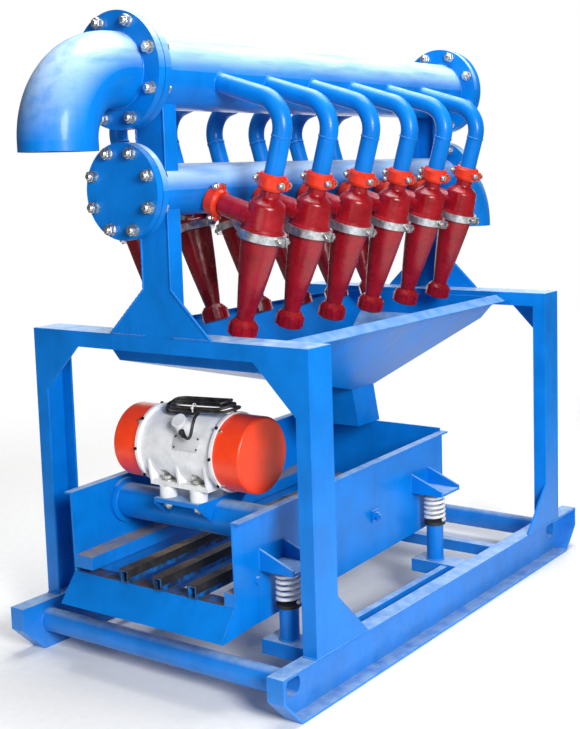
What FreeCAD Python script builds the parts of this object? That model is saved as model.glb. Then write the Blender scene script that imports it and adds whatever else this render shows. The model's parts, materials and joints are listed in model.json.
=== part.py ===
import FreeCAD, Part
import math
import os
import re
import Sketcher

# Twelve-cone hydrocyclone desilter on a skid: two rows of cyclones hang from a feed header and
# an overflow header, and their underflow falls through a hopper onto a sprung vibrating deck.
# Frame: X across the skid, Y along it (front is -Y), Z up, floor at Z = 0.

Vector = FreeCAD.Vector
doc = FreeCAD.newDocument("HydrocycloneDesilter")

# ---------------------------------------------------------------------------------------------
# Driving dimensions, in millimetres and degrees
# ---------------------------------------------------------------------------------------------

SIZES = {
    # shift that puts the middle of the overall box at Y = 0
    "skid_mid_y": 23.5,
    "plate": 8,
    "thin_plate": 6,
    "sheet_plate": 4,
    # skid runners: channels along Y that open outward
    "runner_web_x": 502,
    "runner_out_x": 562,
    "runner_height": 160,
    "runner_half": 980,
    "ski": 86,
    # members between the runners
    "cross_pipe_r": 38,
    "cross_pipe_wall": 5,
    "cross_pipe_z": 94,
    "cross_pipe_front_y": -868,
    "cross_pipe_rear_y": 847,
    "cross_channel_y": 380,
    "cross_channel_width": 40,
    "cross_channel_z": 110,
    "cross_channel_height": 40,
    # spring carriers
    "stub_reach_x": 320,
    "stub_width": 90,
    "stub_z": 115,
    "spring_x": 393,
    "front_spring_y": -725,
    "rear_spring_y": 140,
    "front_seat_z": 263,
    "rear_seat_z": 290,
    "pedestal_r": 30,
    "tie_bar_x": 442,
    "tie_bar_width": 25,
    "tie_bar_z": 130,
    # coil springs and their rubber seats
    "spring_gap": 117,
    "seat_thick": 10,
    "seat_r": 38,
    "spring_mean_r": 34,
    "spring_wire_r": 5.5,
    "spring_turns": 5,
    # portals: mitred channel, web outward
    "portal_web_x": 561,
    "portal_flange": 51,
    "portal_width": 112,
    "portal_out_y": 818,
    "portal_top_z": 1064,
    "corner_gusset": 150,
    "foot_gusset": 158,
    # header columns: channel, web outward
    "column_half": 56,
    "column_top_z": 1800,
    "column_gusset_width": 150,
    "column_gusset_height": 145,
    # underflow hopper and chute
    "hopper_half_y": 706,
    "hopper_top_z": 1044,
    "hopper_top_x": 365,
    "hopper_break_z": 958,
    "outlet_x": 105,
    "outlet_z": 762,
    "outlet_front_y": 60,
    "outlet_rear_y": 200,
    "lip_in_x": 352,
    "lip_in_z": 1052,
    "lip_out_x": 393,
    "lip_out_z": 1029,
    "chute_lean": 35,
    "chute_end_z": 621,
    # feed header, DN150
    "feed_r": 79.5,
    "feed_wall": 5,
    "feed_z": 1509,
    "feed_flange_r": 142.5,
    "feed_flange_thick": 22,
    "feed_bolt_circle_r": 120,
    "feed_gasket_r": 109,
    # overflow header, DN200
    "over_r": 109.5,
    "over_wall": 6,
    "over_z": 1857,
    "over_flange_r": 170,
    "over_flange_thick": 24,
    "over_bolt_circle_r": 147.5,
    "over_gasket_r": 136,
    # both headers
    "header_front_y": -948,
    "header_rear_y": 942,
    "gasket_thick": 3,
    "bolt_r": 10,
    "bolt_hole_r": 11,
    "bolt_count": 8,
    "bolt_head_r": 17.3,
    "bolt_head_thick": 13,
    "nut_thick": 16,
    "thread_end": 8,
    # elbows
    "feed_bend_r": 200,
    "feed_straight": 21,
    "feed_tail": 15,
    "over_bend_r": 203,
    "over_straight": 29,
    "over_tail": 28,
    # rows of cyclones
    "row_x": 293,
    "row_z": 1526,
    "row_start_y": -610,
    "cyclone_pitch": 240,
    "cyclone_tilt": 16.5,
    # one cyclone, measured along its axis from the overflow coupling
    "nozzle_r": 30,
    "nozzle_bore_r": 26,
    "pipe_end_gap": 1,
    "neck_end": 48,
    "neck_fillet": 8,
    "shoulder_r": 57,
    "shoulder_at": 70,
    "shoulder_fillet": 16,
    "barrel_r": 63,
    "barrel_end": 142,
    "rim_r": 66,
    "rim_start": 147,
    "clamp_start": 152,
    "clamp_end": 178,
    "clamp_in_r": 69,
    "clamp_out_r": 76,
    "clamp_lug_x": 93,
    "clamp_lug_half": 13,
    "clamp_split": 3,
    "cone_top_r": 62,
    "cone_mid_r": 46.5,
    "cone_mid_at": 309,
    "cone_end_r": 26,
    "cone_end_at": 440,
    "cone_bulge_r": 4500,
    "apex_start_r": 32,
    "apex_grip_at": 452,
    "apex_r": 42,
    "apex_end": 494,
    "apex_edge": 4,
    "apex_bore_r": 10,
    "apex_seat_rise": 20,
    "apex_rib_r": 46,
    "apex_rib_width": 15,
    "apex_rib_count": 8,
    "inlet_drop": 112,
    "inlet_offset": 30,
    "inlet_reach": 171,
    "inlet_lip_r": 34,
    "inlet_lip_at": 140,
    # grooved-pipe couplings
    "coupling_r": 45,
    "coupling_half": 24,
    "coupling_land_half": 15,
    "coupling_shoulder": 6,
    "coupling_lug_x": 54,
    "coupling_lug_half": 14,
    "coupling_split": 1.5,
    # overflow pipe of one cyclone
    "branch_rise": 237,
    "branch_bend_r": 95,
    "branch_reach": 300,
    # vibrating deck
    "deck_x": 335,
    "deck_front_y": -905,
    "deck_front_z": 556,
    "deck_sill_y": -900,
    "deck_sill_z": 297,
    "lip_tip_y": -965,
    "lip_tip_z": 210,
    "deck_keel_y": -840,
    "deck_keel_z": 220,
    "deck_rear_y": 300,
    "deck_rear_low_z": 265,
    "deck_rear_z": 590,
    "deck_flange": 25,
    "deck_wall_top_z": 600,
    "deck_rise": 0.028,
    "bar_width": 30,
    "bar_height": 40,
    "bar_wall": 4,
    "bar_low_z": 298,
    "bar_start_x": -125,
    "bar_spacing": 140,
    "bar_count": 3,
    "bar_rubber_wall": 4,
    "bar_rubber_height": 26,
    "left_rail_x": -254,
    "left_rail_z": 353,
    "right_rail_x": 290,
    "right_rail_z": 340,
    "rail_height": 42,
    # round stop and tension bolt on the side plates
    "stop_y": -799,
    "stop_z": 354,
    "stop_r": 12,
    "stop_height": 10,
    "tension_y": -164,
    "tension_z": 388,
    "tension_washer_half": 20,
    "tension_nut_r": 15,
    "tension_nut_thick": 13,
    "tension_bolt_r": 8,
    "tension_bolt_end": 10,
    # spring brackets on the side plates
    "bracket_half": 63,
    "bracket_out_x": 460,
    "bracket_nose": 10,
    "front_bracket_z": 446,
    "rear_bracket_z": 475,
    # vibration motor and its mount
    "motor_y": -665,
    "motor_tube_r": 57,
    "motor_tube_wall": 6,
    "motor_tube_z": 479,
    "tube_collar_r": 73,
    "tube_collar_width": 14,
    "base_low_z": 531,
    "base_top_z": 545,
    "base_half_x": 92,
    "base_half_y": 118,
    "motor_z": 695,
    "motor_mid_x": 6,
    "motor_body_half": 158,
    "motor_body_r": 112,
    "motor_waist_r": 118,
    "motor_rim_r": 126,
    "motor_rim_thick": 10,
    "motor_bore_r": 22,
    "motor_bulge_r": 1600,
    "cap_r": 120,
    "cap_corner_r": 9,
    "cap_length": 102,
    "cap_wall": 3,
    "foot_spacing": 126,
    "foot_half_y": 80,
    "foot_pad_r": 28,
    "foot_plate_low_z": 582,
    "foot_plate_thick": 16,
    "foot_plate_half_x": 119,
    "foot_plate_half_y": 100,
    "foot_rib_top_z": 665,
    "foot_rib_top_half": 112,
    "foot_pocket_r": 21,
    "foot_pocket_height": 34,
    "foot_bolt_hole_r": 11,
    # rotor of the vibration motor
    "shaft_r": 21.95,
    "shaft_half": 246,
    "weight_r": 92,
    "weight_thick": 22,
    "weight_gap": 20,
    "weight_hub": 4,
    # motor cable, its entry on the barrel and the hank on top of the motor
    "entry_x": 20,
    "entry_r": 24,
    "entry_end": 150,
    "gland_r": 11,
    "gland_length": 26,
    "cable_r": 5,
    "hank_x": 42,
    "hank_y": -678,
    "hank_length": 280,
    "hank_width": 88,
    "hank_low_z": 822,
    "hank_thick": 28,
    "tie_x": 38,
    "tie_width": 6,
    "tie_thick": 1.6,
}

# From a stub's outer end to the feed header's middle plane
STUB_REACH = "row_x / cos(cyclone_tilt) - inlet_reach"

# Route of the cable's free stretch, from the gland to the side of the hank
CABLE_ROUTE = [
    (40, -782, 770),
    (69.4, -794.9, 751.6),
    (101.8, -810.1, 761.1),
    (114.8, -813.8, 795.6),
    (107.3, -793.3, 825.5),
    (94.2, -758.9, 829.2),
    (94.2, -722, 829.2),
]

sheet = doc.addObject("Spreadsheet::Sheet", "Sizes")
for row, (name, number) in enumerate(SIZES.items(), start=1):
    sheet.set(f"A{row}", name)
    sheet.set(f"B{row}", str(number))
    sheet.setAlias(f"B{row}", name)
doc.recompute()

FLAT = {"XY": "XY_Plane", "XZ": "XZ_Plane", "YZ": "YZ_Plane"}
NORMAL_SIGN = {"XY": 1, "XZ": -1, "YZ": 1}
nodes = []


def bound(text):
    """Writes an expression of the sheet's names as other objects refer to them."""
    return re.sub(r"[a-z_]+", lambda name: f"Sizes.{name[0]}" if name[0] in SIZES else name[0], str(text))


def value(text):
    """Works an expression of the sheet's names out."""
    result = sheet.evalExpression(bound(text))
    return float(getattr(result, "Value", result))


def place(thing, x="0", y="0", z="0", yaw="0", pitch="0", roll="0"):
    """Binds a placement: a position and turns about Z, then Y, then X."""
    spot = bound(f"vector({x};{y};{z})")
    turn = bound(f"rotation({yaw};{pitch};{roll})")
    thing.setExpression("Placement", f"placement({spot};{turn})")
    return thing


def node(thing, label):
    """Makes an object a sub-part, moved with the whole skid to the middle of the frame."""
    thing.Label = label
    if not any(path.startswith("Placement") for path, _ in thing.ExpressionEngine):
        thing.setExpression("Placement.Base.y", bound("skid_mid_y"))
    nodes.append(thing)
    return thing


# ---------------------------------------------------------------------------------------------
# Sketches
# ---------------------------------------------------------------------------------------------


def pin(sketch, geometry, point, x, y):
    """Holds a point of a sketch at bound distances from the sketch's origin."""
    for direction, text in (("DistanceX", x), ("DistanceY", y)):
        number = sketch.addConstraint(Sketcher.Constraint(direction, -1, 1, geometry, point, value(text)))
        sketch.setExpression(f"Constraints[{number}]", bound(text))


def draw_circle(sketch, x, y, radius):
    centre = Vector(value(x), value(y), 0)
    circle = sketch.addGeometry(Part.Circle(centre, Vector(0, 0, 1), value(radius)), False)
    pin(sketch, circle, 3, x, y)
    number = sketch.addConstraint(Sketcher.Constraint("Radius", circle, value(radius)))
    sketch.setExpression(f"Constraints[{number}]", bound(radius))


def draw_corner(sketch, before, after, corner, way_in, way_out):
    """Rounds the corner between two lines with an arc that touches both."""
    x, y, radius = corner
    spot = Vector(value(x), value(y), 0)
    size = value(radius)
    turn = way_in.getAngle(way_out)
    set_back = size * math.tan(turn / 2)
    left = way_in.cross(way_out).z > 0
    across = Vector(-way_in.y, way_in.x, 0) * (1 if left else -1)
    centre = spot - way_in * set_back + across * size
    ends = [spot - way_in * set_back - centre, spot + way_out * set_back - centre]
    angles = [math.atan2(end.y, end.x) for end in (ends if left else ends[::-1])]
    circle = Part.Circle(centre, Vector(0, 0, 1), size)
    arc = sketch.addGeometry(Part.ArcOfCircle(circle, angles[0], angles[1]), False)
    mark = sketch.addGeometry(Part.Point(spot), True)
    first, last = (1, 2) if left else (2, 1)
    sketch.addConstraint(Sketcher.Constraint("Tangent", before, 2, arc, first))
    sketch.addConstraint(Sketcher.Constraint("Tangent", after, 1, arc, last))
    sketch.addConstraint(Sketcher.Constraint("PointOnObject", mark, 1, before))
    sketch.addConstraint(Sketcher.Constraint("PointOnObject", mark, 1, after))
    number = sketch.addConstraint(Sketcher.Constraint("Radius", arc, size))
    sketch.setExpression(f"Constraints[{number}]", bound(radius))
    pin(sketch, mark, 1, x, y)


def draw_outline(sketch, corners, closed=True):
    """Draws lines from corner to corner; a corner with a third value is rounded by that radius."""
    spots = [Vector(value(corner[0]), value(corner[1]), 0) for corner in corners]
    count = len(corners)
    spans = count if closed else count - 1
    lines = []
    ways = []
    for index in range(spans):
        start, end = spots[index], spots[(index + 1) % count]
        way = (end - start).normalize()
        cut_start = set_back(corners, spots, index, closed)
        cut_end = set_back(corners, spots, (index + 1) % count, closed)
        line = Part.LineSegment(start + way * cut_start, end - way * cut_end)
        lines.append(sketch.addGeometry(line, False))
        ways.append(way)
    for index, corner in enumerate(corners):
        before = lines[index - 1]
        after = lines[index % spans]
        if not closed and index == 0:
            pin(sketch, after, 1, corner[0], corner[1])
        elif not closed and index == count - 1:
            pin(sketch, before, 2, corner[0], corner[1])
        elif len(corner) == 3:
            draw_corner(sketch, before, after, corner, ways[index - 1], ways[index % spans])
        else:
            sketch.addConstraint(Sketcher.Constraint("Coincident", before, 2, after, 1))
            pin(sketch, after, 1, corner[0], corner[1])


def set_back(corners, spots, index, closed):
    """How far a rounded corner's arc starts from the corner itself."""
    if len(corners[index]) < 3:
        return 0
    way_in = spots[index] - spots[index - 1]
    way_out = spots[(index + 1) % len(spots)] - spots[index]
    return value(corners[index][2]) * math.tan(way_in.getAngle(way_out) / 2)


def sketch_on(body, flat, start, shapes, closed=True):
    """Adds a sketch parallel to one of the body's own planes, at start along the plane's axis."""
    sketch = body.newObject("Sketcher::SketchObject", f"{body.Name}_sketch")
    plane = next(part for part in body.Origin.OriginFeatures if part.Role == FLAT[flat])
    sketch.AttachmentSupport = (plane, [""])
    sketch.MapMode = "FlatFace"
    sign = NORMAL_SIGN[flat]
    sketch.setExpression("AttachmentOffset.Base.z", bound(f"{sign} * ({start})"))
    for shape in shapes:
        if shape[0] == "circle":
            draw_circle(sketch, *shape[1:])
        else:
            draw_outline(sketch, shape, closed)
    doc.recompute()
    return sketch


def circle(x, y, radius):
    return ("circle", x, y, radius)


def rectangle(low_x, high_x, low_y, high_y):
    return [(low_x, low_y), (high_x, low_y), (high_x, high_y), (low_x, high_y)]


def mirrored(corners):
    """The same outline on the other side of the sketch's upright axis."""
    return [(f"-({corner[0]})", *corner[1:]) for corner in corners]


# ---------------------------------------------------------------------------------------------
# Features
# ---------------------------------------------------------------------------------------------


def new_body(name):
    body = doc.addObject("PartDesign::Body", name)
    body.AllowCompound = True
    return body


def add_prism(body, flat, start, length, *shapes):
    """Pads outlines from start by length, toward the positive end of the plane's axis."""
    sketch = sketch_on(body, flat, start, shapes)
    pad = body.newObject("PartDesign::Pad", f"{body.Name}_pad")
    pad.Profile = sketch
    pad.setExpression("Length", bound(length))
    pad.Reversed = NORMAL_SIGN[flat] < 0
    doc.recompute()
    return pad


def cut_prism(body, flat, start, length, *shapes):
    """Cuts outlines from start by length, toward the positive end of the plane's axis."""
    before = body.Shape.Volume
    sketch = sketch_on(body, flat, start, shapes)
    pocket = body.newObject("PartDesign::Pocket", f"{body.Name}_pocket")
    pocket.Profile = sketch
    pocket.setExpression("Length", bound(length))
    pocket.Reversed = NORMAL_SIGN[flat] > 0
    doc.recompute()
    if body.Shape.Volume > before - 1:
        raise RuntimeError(f"{pocket.Name} cuts nothing")
    return pocket


def revolve(body, corners):
    """Turns a profile (radius, height) about the body's Z axis."""
    sketch = sketch_on(body, "XZ", "0", [corners])
    turned = body.newObject("PartDesign::Revolution", f"{body.Name}_revolution")
    turned.Profile = sketch
    turned.ReferenceAxis = (sketch, ["V_Axis"])
    turned.Angle = 360
    doc.recompute()
    return turned


def around(body, feature, role, count):
    """Repeats a feature evenly about one of the body's axes."""
    pattern = body.newObject("PartDesign::PolarPattern", f"{body.Name}_pattern")
    pattern.Originals = [feature]
    axis = next(part for part in body.Origin.OriginFeatures if part.Role == role)
    pattern.Axis = (axis, [""])
    pattern.Angle = 360
    pattern.setExpression("Occurrences", bound(count))
    body.Tip = pattern
    doc.recompute()
    return pattern


def open_shell(body, wall, *open_heights):
    """Hollows a body to a wall, inward, and opens its level faces at the given heights."""
    tip = body.Tip
    faces = []
    for number, face in enumerate(tip.Shape.Faces, start=1):
        level = face.BoundBox.ZLength < 0.001
        if level and any(abs(face.BoundBox.ZMin - value(at)) < 0.01 for at in open_heights):
            faces.append(f"Face{number}")
    shell = body.newObject("PartDesign::Thickness", f"{body.Name}_thickness")
    shell.Base = (tip, faces)
    shell.setExpression("Value", bound(wall))
    shell.Reversed = True
    shell.Join = "Intersection"
    doc.recompute()
    return shell


def add_pipe(body, flat, route, profile_flat, start, *rings):
    """Sweeps rings along an open route with rounded corners."""
    path = sketch_on(body, flat, "0", [route], closed=False)
    profile = sketch_on(body, profile_flat, start, rings)
    pipe = body.newObject("PartDesign::AdditivePipe", f"{body.Name}_pipe")
    pipe.Profile = profile
    pipe.Spine = (path, [])
    doc.recompute()
    return pipe


def cylinder(name, radius, length, x, y, z, yaw="0", pitch="0", roll="0"):
    rod = doc.addObject("Part::Cylinder", name)
    rod.setExpression("Radius", bound(radius))
    rod.setExpression("Height", bound(length))
    return place(rod, x, y, z, yaw, pitch, roll)


def along_y(name, radius, start, end, z):
    return cylinder(name, radius, f"({end}) - ({start})", "0", start, z, roll="-90")


def fuse(name, shapes):
    joined = doc.addObject("Part::MultiFuse", name)
    joined.Shapes = shapes
    joined.Refine = True
    doc.recompute()
    return joined


def cut(name, base, tool):
    rest = doc.addObject("Part::Cut", name)
    rest.Base = base
    rest.Tool = tool
    doc.recompute()
    return rest


def copy_of(source, name, x="0", y="0", z="0", yaw="0", pitch="0", roll="0"):
    """Places one more of the same piece."""
    link = doc.addObject("App::Link", name)
    link.LinkedObject = source
    return place(link, x, y, z, yaw, pitch, roll)


def group(name, members):
    """Holds separate solids together as one sub-part."""
    gathered = doc.addObject("Part::Compound", name)
    gathered.Links = members
    doc.recompute()
    return gathered


def mirror_left(source, name):
    """The left-hand partner of a right-hand piece that is already in its place."""
    partner = doc.addObject("Part::Mirroring", name)
    partner.Source = source
    partner.Normal = Vector(1, 0, 0)
    doc.recompute()
    partner.Label = name
    nodes.append(partner)
    return partner


def turn_to_rear(source, name):
    """The same piece at the other end of the skid, turned half round."""
    turned = copy_of(source, f"{name}_turned", yaw="180")
    return node(group(name, [turned]), name)


# ---------------------------------------------------------------------------------------------
# Skid
# ---------------------------------------------------------------------------------------------


def skid_runner():
    body = new_body("skid_runner_right")
    inner = "runner_web_x + plate"
    section = [
        ("runner_web_x", "0"),
        ("runner_out_x", "0"),
        ("runner_out_x", "plate"),
        (inner, "plate"),
        (inner, "runner_height - plate"),
        ("runner_out_x", "runner_height - plate"),
        ("runner_out_x", "runner_height"),
        ("runner_web_x", "runner_height"),
    ]
    add_prism(body, "XZ", "-runner_half", "2 * runner_half", section)
    front_ski = [("-runner_half", "0"), ("ski - runner_half", "0"), ("-runner_half", "ski")]
    skis = [front_ski, mirrored(front_ski)]
    cut_prism(body, "YZ", "runner_web_x", "runner_out_x - runner_web_x", *skis)
    front_plate = [
        ("-runner_half", "runner_height"),
        ("-runner_half", "ski"),
        ("ski - runner_half", "0"),
        ("ski - runner_half + plate * sqrt(2)", "0"),
        ("plate - runner_half", "ski + plate * (sqrt(2) - 1)"),
        ("plate - runner_half", "runner_height"),
    ]
    end_plates = [front_plate, mirrored(front_plate)]
    add_prism(body, "YZ", "runner_web_x", "runner_out_x - runner_web_x", *end_plates)
    holes = [
        circle("cross_pipe_front_y", "cross_pipe_z", "cross_pipe_r"),
        circle("cross_pipe_rear_y", "cross_pipe_z", "cross_pipe_r"),
    ]
    cut_prism(body, "YZ", "runner_web_x - plate", "3 * plate", *holes)
    return node(body, "skid_runner_right")


def skid_cross_pipes():
    body = new_body("skid_cross_pipes")
    rings = []
    for spot in ("cross_pipe_front_y", "cross_pipe_rear_y"):
        rings.append(circle(spot, "cross_pipe_z", "cross_pipe_r"))
        rings.append(circle(spot, "cross_pipe_z", "cross_pipe_r - cross_pipe_wall"))
    end = "runner_web_x + plate"
    add_prism(body, "YZ", f"-({end})", f"2 * ({end})", *rings)
    return node(body, "skid_cross_pipes")


def channel_down(low_y, width, low_z, height, wall):
    """Section of a channel that opens downward, in the YZ plane."""
    high_y = f"{low_y} + {width}"
    top = f"{low_z} + {height}"
    return [
        (low_y, low_z),
        (f"{low_y} + {wall}", low_z),
        (f"{low_y} + {wall}", f"{top} - {wall}"),
        (f"{high_y} - {wall}", f"{top} - {wall}"),
        (f"{high_y} - {wall}", low_z),
        (high_y, low_z),
        (high_y, top),
        (low_y, top),
    ]


def rear_cross_channel():
    body = new_body("rear_cross_channel")
    size = ("cross_channel_width", "cross_channel_z", "cross_channel_height", "thin_plate")
    section = channel_down("cross_channel_y", *size)
    add_prism(body, "YZ", "-runner_web_x", "2 * runner_web_x", section)
    return node(body, "rear_cross_channel")


def spring_carrier():
    """Two channel stubs with round pedestals, joined by a flat tie bar beside the runner."""
    body = new_body("spring_carrier_right")
    sections = []
    for spring_y in ("front_spring_y", "rear_spring_y"):
        low_y = f"{spring_y} - stub_width / 2"
        sections.append(channel_down(low_y, "stub_width", "stub_z", "runner_height - stub_z", "plate"))
    add_prism(body, "YZ", "stub_reach_x", "runner_web_x - stub_reach_x", *sections)
    for spring_y, seat_z in (("front_spring_y", "front_seat_z"), ("rear_spring_y", "rear_seat_z")):
        ring = circle("spring_x", spring_y, "pedestal_r")
        add_prism(body, "XY", "runner_height", f"{seat_z} - runner_height", ring)
    bar_end = "tie_bar_x + tie_bar_width"
    bar_top = "tie_bar_z + tie_bar_width"
    bar = rectangle("tie_bar_x", bar_end, "tie_bar_z", bar_top)
    length = "rear_spring_y - front_spring_y - stub_width"
    add_prism(body, "XZ", "front_spring_y + stub_width / 2", length, bar)
    return node(body, "spring_carrier_right")


# ---------------------------------------------------------------------------------------------
# Portals and header columns
# ---------------------------------------------------------------------------------------------


def front_portal():
    """Posts and beam of one mitred channel, flanges inward, with gussets flush to its faces."""
    body = new_body("front_portal")
    inner_x = "portal_web_x - portal_flange"
    inner_z = "portal_top_z - portal_flange"
    frame = [
        ("-portal_web_x", "runner_height"),
        (f"-({inner_x})", "runner_height"),
        (f"-({inner_x})", inner_z),
        (inner_x, inner_z),
        (inner_x, "runner_height"),
        ("portal_web_x", "runner_height"),
        ("portal_web_x", "portal_top_z"),
        ("-portal_web_x", "portal_top_z"),
    ]
    add_prism(body, "XZ", "-portal_out_y", "portal_width", frame)
    web_x = "portal_web_x - plate"
    hollow = rectangle(f"-({web_x})", web_x, "runner_height", "portal_top_z - plate")
    cut_prism(body, "XZ", "plate - portal_out_y", "portal_width - 2 * plate", hollow)
    corner = [
        (inner_x, inner_z),
        (f"{inner_x} - corner_gusset", inner_z),
        (inner_x, f"{inner_z} - corner_gusset"),
    ]
    add_prism(body, "XZ", "-portal_out_y", "plate", corner, mirrored(corner))
    foot_y = "portal_width - portal_out_y"
    foot = [
        (foot_y, "runner_height"),
        (f"{foot_y} + foot_gusset", "runner_height"),
        (foot_y, "runner_height + foot_gusset"),
    ]
    add_prism(body, "YZ", web_x, "plate", foot)
    add_prism(body, "YZ", "-portal_web_x", "plate", foot)
    return node(body, "front_portal")


def front_header_column():
    """Channel coped to the undersides and the top of the two headers, with base gussets."""
    body = new_body("front_header_column")
    web_y = "-portal_out_y"
    inner = "column_half - plate"
    open_y = f"{web_y} + column_half"
    section = [
        ("-column_half", web_y),
        ("column_half", web_y),
        ("column_half", open_y),
        (inner, open_y),
        (inner, f"{web_y} + plate"),
        (f"-({inner})", f"{web_y} + plate"),
        (f"-({inner})", open_y),
        ("-column_half", open_y),
    ]
    add_prism(body, "XY", "portal_top_z", "column_top_z - portal_top_z", section)
    saddles = [circle("0", "feed_z", "feed_r"), circle("0", "over_z", "over_r")]
    cut_prism(body, "XZ", f"{web_y} - plate", "column_half + 2 * plate", *saddles)
    gusset = [
        ("column_half", "portal_top_z"),
        ("column_half + column_gusset_width", "portal_top_z"),
        ("column_half", "portal_top_z + column_gusset_height"),
    ]
    add_prism(body, "XZ", web_y, "plate", gusset, mirrored(gusset))
    return node(body, "front_header_column")


# ---------------------------------------------------------------------------------------------
# Underflow hopper
# ---------------------------------------------------------------------------------------------


def hopper():
    """Open pan whose side walls slope all the way and whose end walls slope below a break."""
    body = new_body("hopper")
    walls = [
        ("-outlet_x", "outlet_z"),
        ("outlet_x", "outlet_z"),
        ("hopper_top_x", "hopper_top_z"),
        ("-hopper_top_x", "hopper_top_z"),
    ]
    add_prism(body, "XZ", "-hopper_half_y", "2 * hopper_half_y", walls)
    front = [
        ("-hopper_half_y", "hopper_break_z"),
        ("-hopper_half_y", "outlet_z"),
        ("outlet_front_y", "outlet_z"),
    ]
    rear = [
        ("hopper_half_y", "hopper_break_z"),
        ("hopper_half_y", "outlet_z"),
        ("outlet_rear_y", "outlet_z"),
    ]
    cut_prism(body, "YZ", "-hopper_top_x", "2 * hopper_top_x", front, rear)
    open_shell(body, "sheet_plate", "hopper_top_z", "outlet_z")
    rim = [
        ("lip_in_x", "lip_in_z"),
        ("lip_out_x", "lip_out_z"),
        ("lip_out_x - sheet_plate / 2", "lip_out_z - sheet_plate"),
        ("lip_in_x - sheet_plate / 2", "lip_in_z - sheet_plate"),
    ]
    add_prism(body, "XZ", "-hopper_half_y", "2 * hopper_half_y", rim, mirrored(rim))
    return node(body, "hopper")


def hopper_chute():
    body = new_body("hopper_chute")
    side = [
        ("outlet_front_y", "outlet_z"),
        ("outlet_front_y + chute_lean", "chute_end_z"),
        ("outlet_rear_y + chute_lean", "chute_end_z"),
        ("outlet_rear_y", "outlet_z"),
    ]
    add_prism(body, "YZ", "-outlet_x", "2 * outlet_x", side)
    open_shell(body, "sheet_plate", "outlet_z", "chute_end_z")
    return node(body, "hopper_chute")


# ---------------------------------------------------------------------------------------------
# Headers, flanges and elbows
# ---------------------------------------------------------------------------------------------


def pipe_flange(name, outer_r, thick, bolt_circle_r, bore_r=None):
    """Flange along +Y from its own origin, its bolt holes straddling the centre lines."""
    body = new_body(name)
    rings = [circle("0", "0", outer_r)]
    if bore_r:
        rings.append(circle("0", "0", bore_r))
    add_prism(body, "XZ", "0", thick, *rings)
    hole_x = f"{bolt_circle_r} * sin(180 / bolt_count)"
    hole_z = f"{bolt_circle_r} * cos(180 / bolt_count)"
    hole = cut_prism(body, "XZ", "0", thick, circle(hole_x, hole_z, "bolt_hole_r"))
    around(body, hole, "Y_Axis", "bolt_count")
    return body


def hexagon(radius, x="0", y="0"):
    corners = []
    for index in range(6):
        corners.append((f"{x} + {radius} * cos({60 * index})", f"{y} + {radius} * sin({60 * index})"))
    return corners


def hex_bolt(name, grip):
    """Bolt, nut and thread end along +Y, with the gripped faces at 0 and at the grip."""
    body = new_body(name)
    add_prism(body, "XZ", "-bolt_head_thick", "bolt_head_thick", hexagon("bolt_head_r"))
    add_prism(body, "XZ", "0", f"{grip} + nut_thick + thread_end", circle("0", "0", "bolt_r"))
    add_prism(body, "XZ", grip, "nut_thick", hexagon("bolt_head_r"))
    return body


def row_spots(drop, reach, offset):
    """Places of the twelve cyclones, from their coupling centres down the axis and inward."""
    step_x = f"row_x - ({drop}) * sin(cyclone_tilt) - ({reach}) * cos(cyclone_tilt)"
    step_z = f"row_z - ({drop}) * cos(cyclone_tilt) + ({reach}) * sin(cyclone_tilt)"
    for index in range(6):
        row_y = f"row_start_y + {index} * cyclone_pitch"
        yield f"right_{index + 1}", step_x, f"{row_y} - {offset}", step_z, "0"
        yield f"left_{index + 1}", f"-({step_x})", f"{row_y} + {offset}", step_z, "180"


def header(label, radius, wall, thick, z, flange, branch_holes):
    """Header pipe with a flange at each end and a hole for each branch."""
    front = f"header_front_y + {thick} + gasket_thick"
    rear = f"header_rear_y - {thick} - gasket_thick"
    pipe = along_y(f"{label}_pipe", radius, front, rear, z)
    bore = along_y(f"{label}_bore", f"{radius} - {wall}", front, rear, z)
    hollow = fuse(f"{label}_hollow", [bore] + branch_holes)
    tube = cut(f"{label}_tube", pipe, hollow)
    front_flange = copy_of(flange, f"{label}_front_flange", y=front, z=z)
    rear_flange = copy_of(flange, f"{label}_rear_flange", y=f"{rear} - {thick}", z=z)
    return node(fuse(label, [tube, front_flange, rear_flange]), label)


def stub_spots():
    """Outer ends of the twelve inlet stubs, each stub square to its cyclone's axis."""
    for name, x, y, z, yaw in row_spots("inlet_drop", "inlet_reach + pipe_end_gap", "inlet_offset"):
        yield name, (x, y, z, yaw, "cyclone_tilt - 90")


def feed_branches():
    """Holes in the feed header behind the inlet stubs."""
    holes = []
    for name, spot in stub_spots():
        holes.append(cylinder(f"feed_hole_{name}", "nozzle_bore_r", STUB_REACH, *spot))
    return holes


def feed_stubs():
    """Short inlet pipes, coped to fit round the feed header."""
    body = new_body("feed_stub")
    add_prism(body, "XY", "0", STUB_REACH, circle("0", "0", "nozzle_r"), circle("0", "0", "nozzle_bore_r"))
    stubs = [copy_of(body, f"feed_stub_{name}", *spot) for name, spot in stub_spots()]
    saddle = along_y("feed_saddle", "feed_r", "header_front_y", "header_rear_y", "feed_z")
    return node(cut("feed_stubs", group("stub_rows", stubs), saddle), "feed_stubs")


def overflow_branches():
    """Holes in the overflow header where the overflow pipes enter."""
    holes = []
    for name, x, y, z, yaw in row_spots("-branch_rise", "branch_reach / 2", "0"):
        spot = (x, y, z, yaw, "cyclone_tilt - 90")
        holes.append(cylinder(f"over_hole_{name}", "nozzle_bore_r", "branch_reach / 2", *spot))
    return holes


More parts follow.
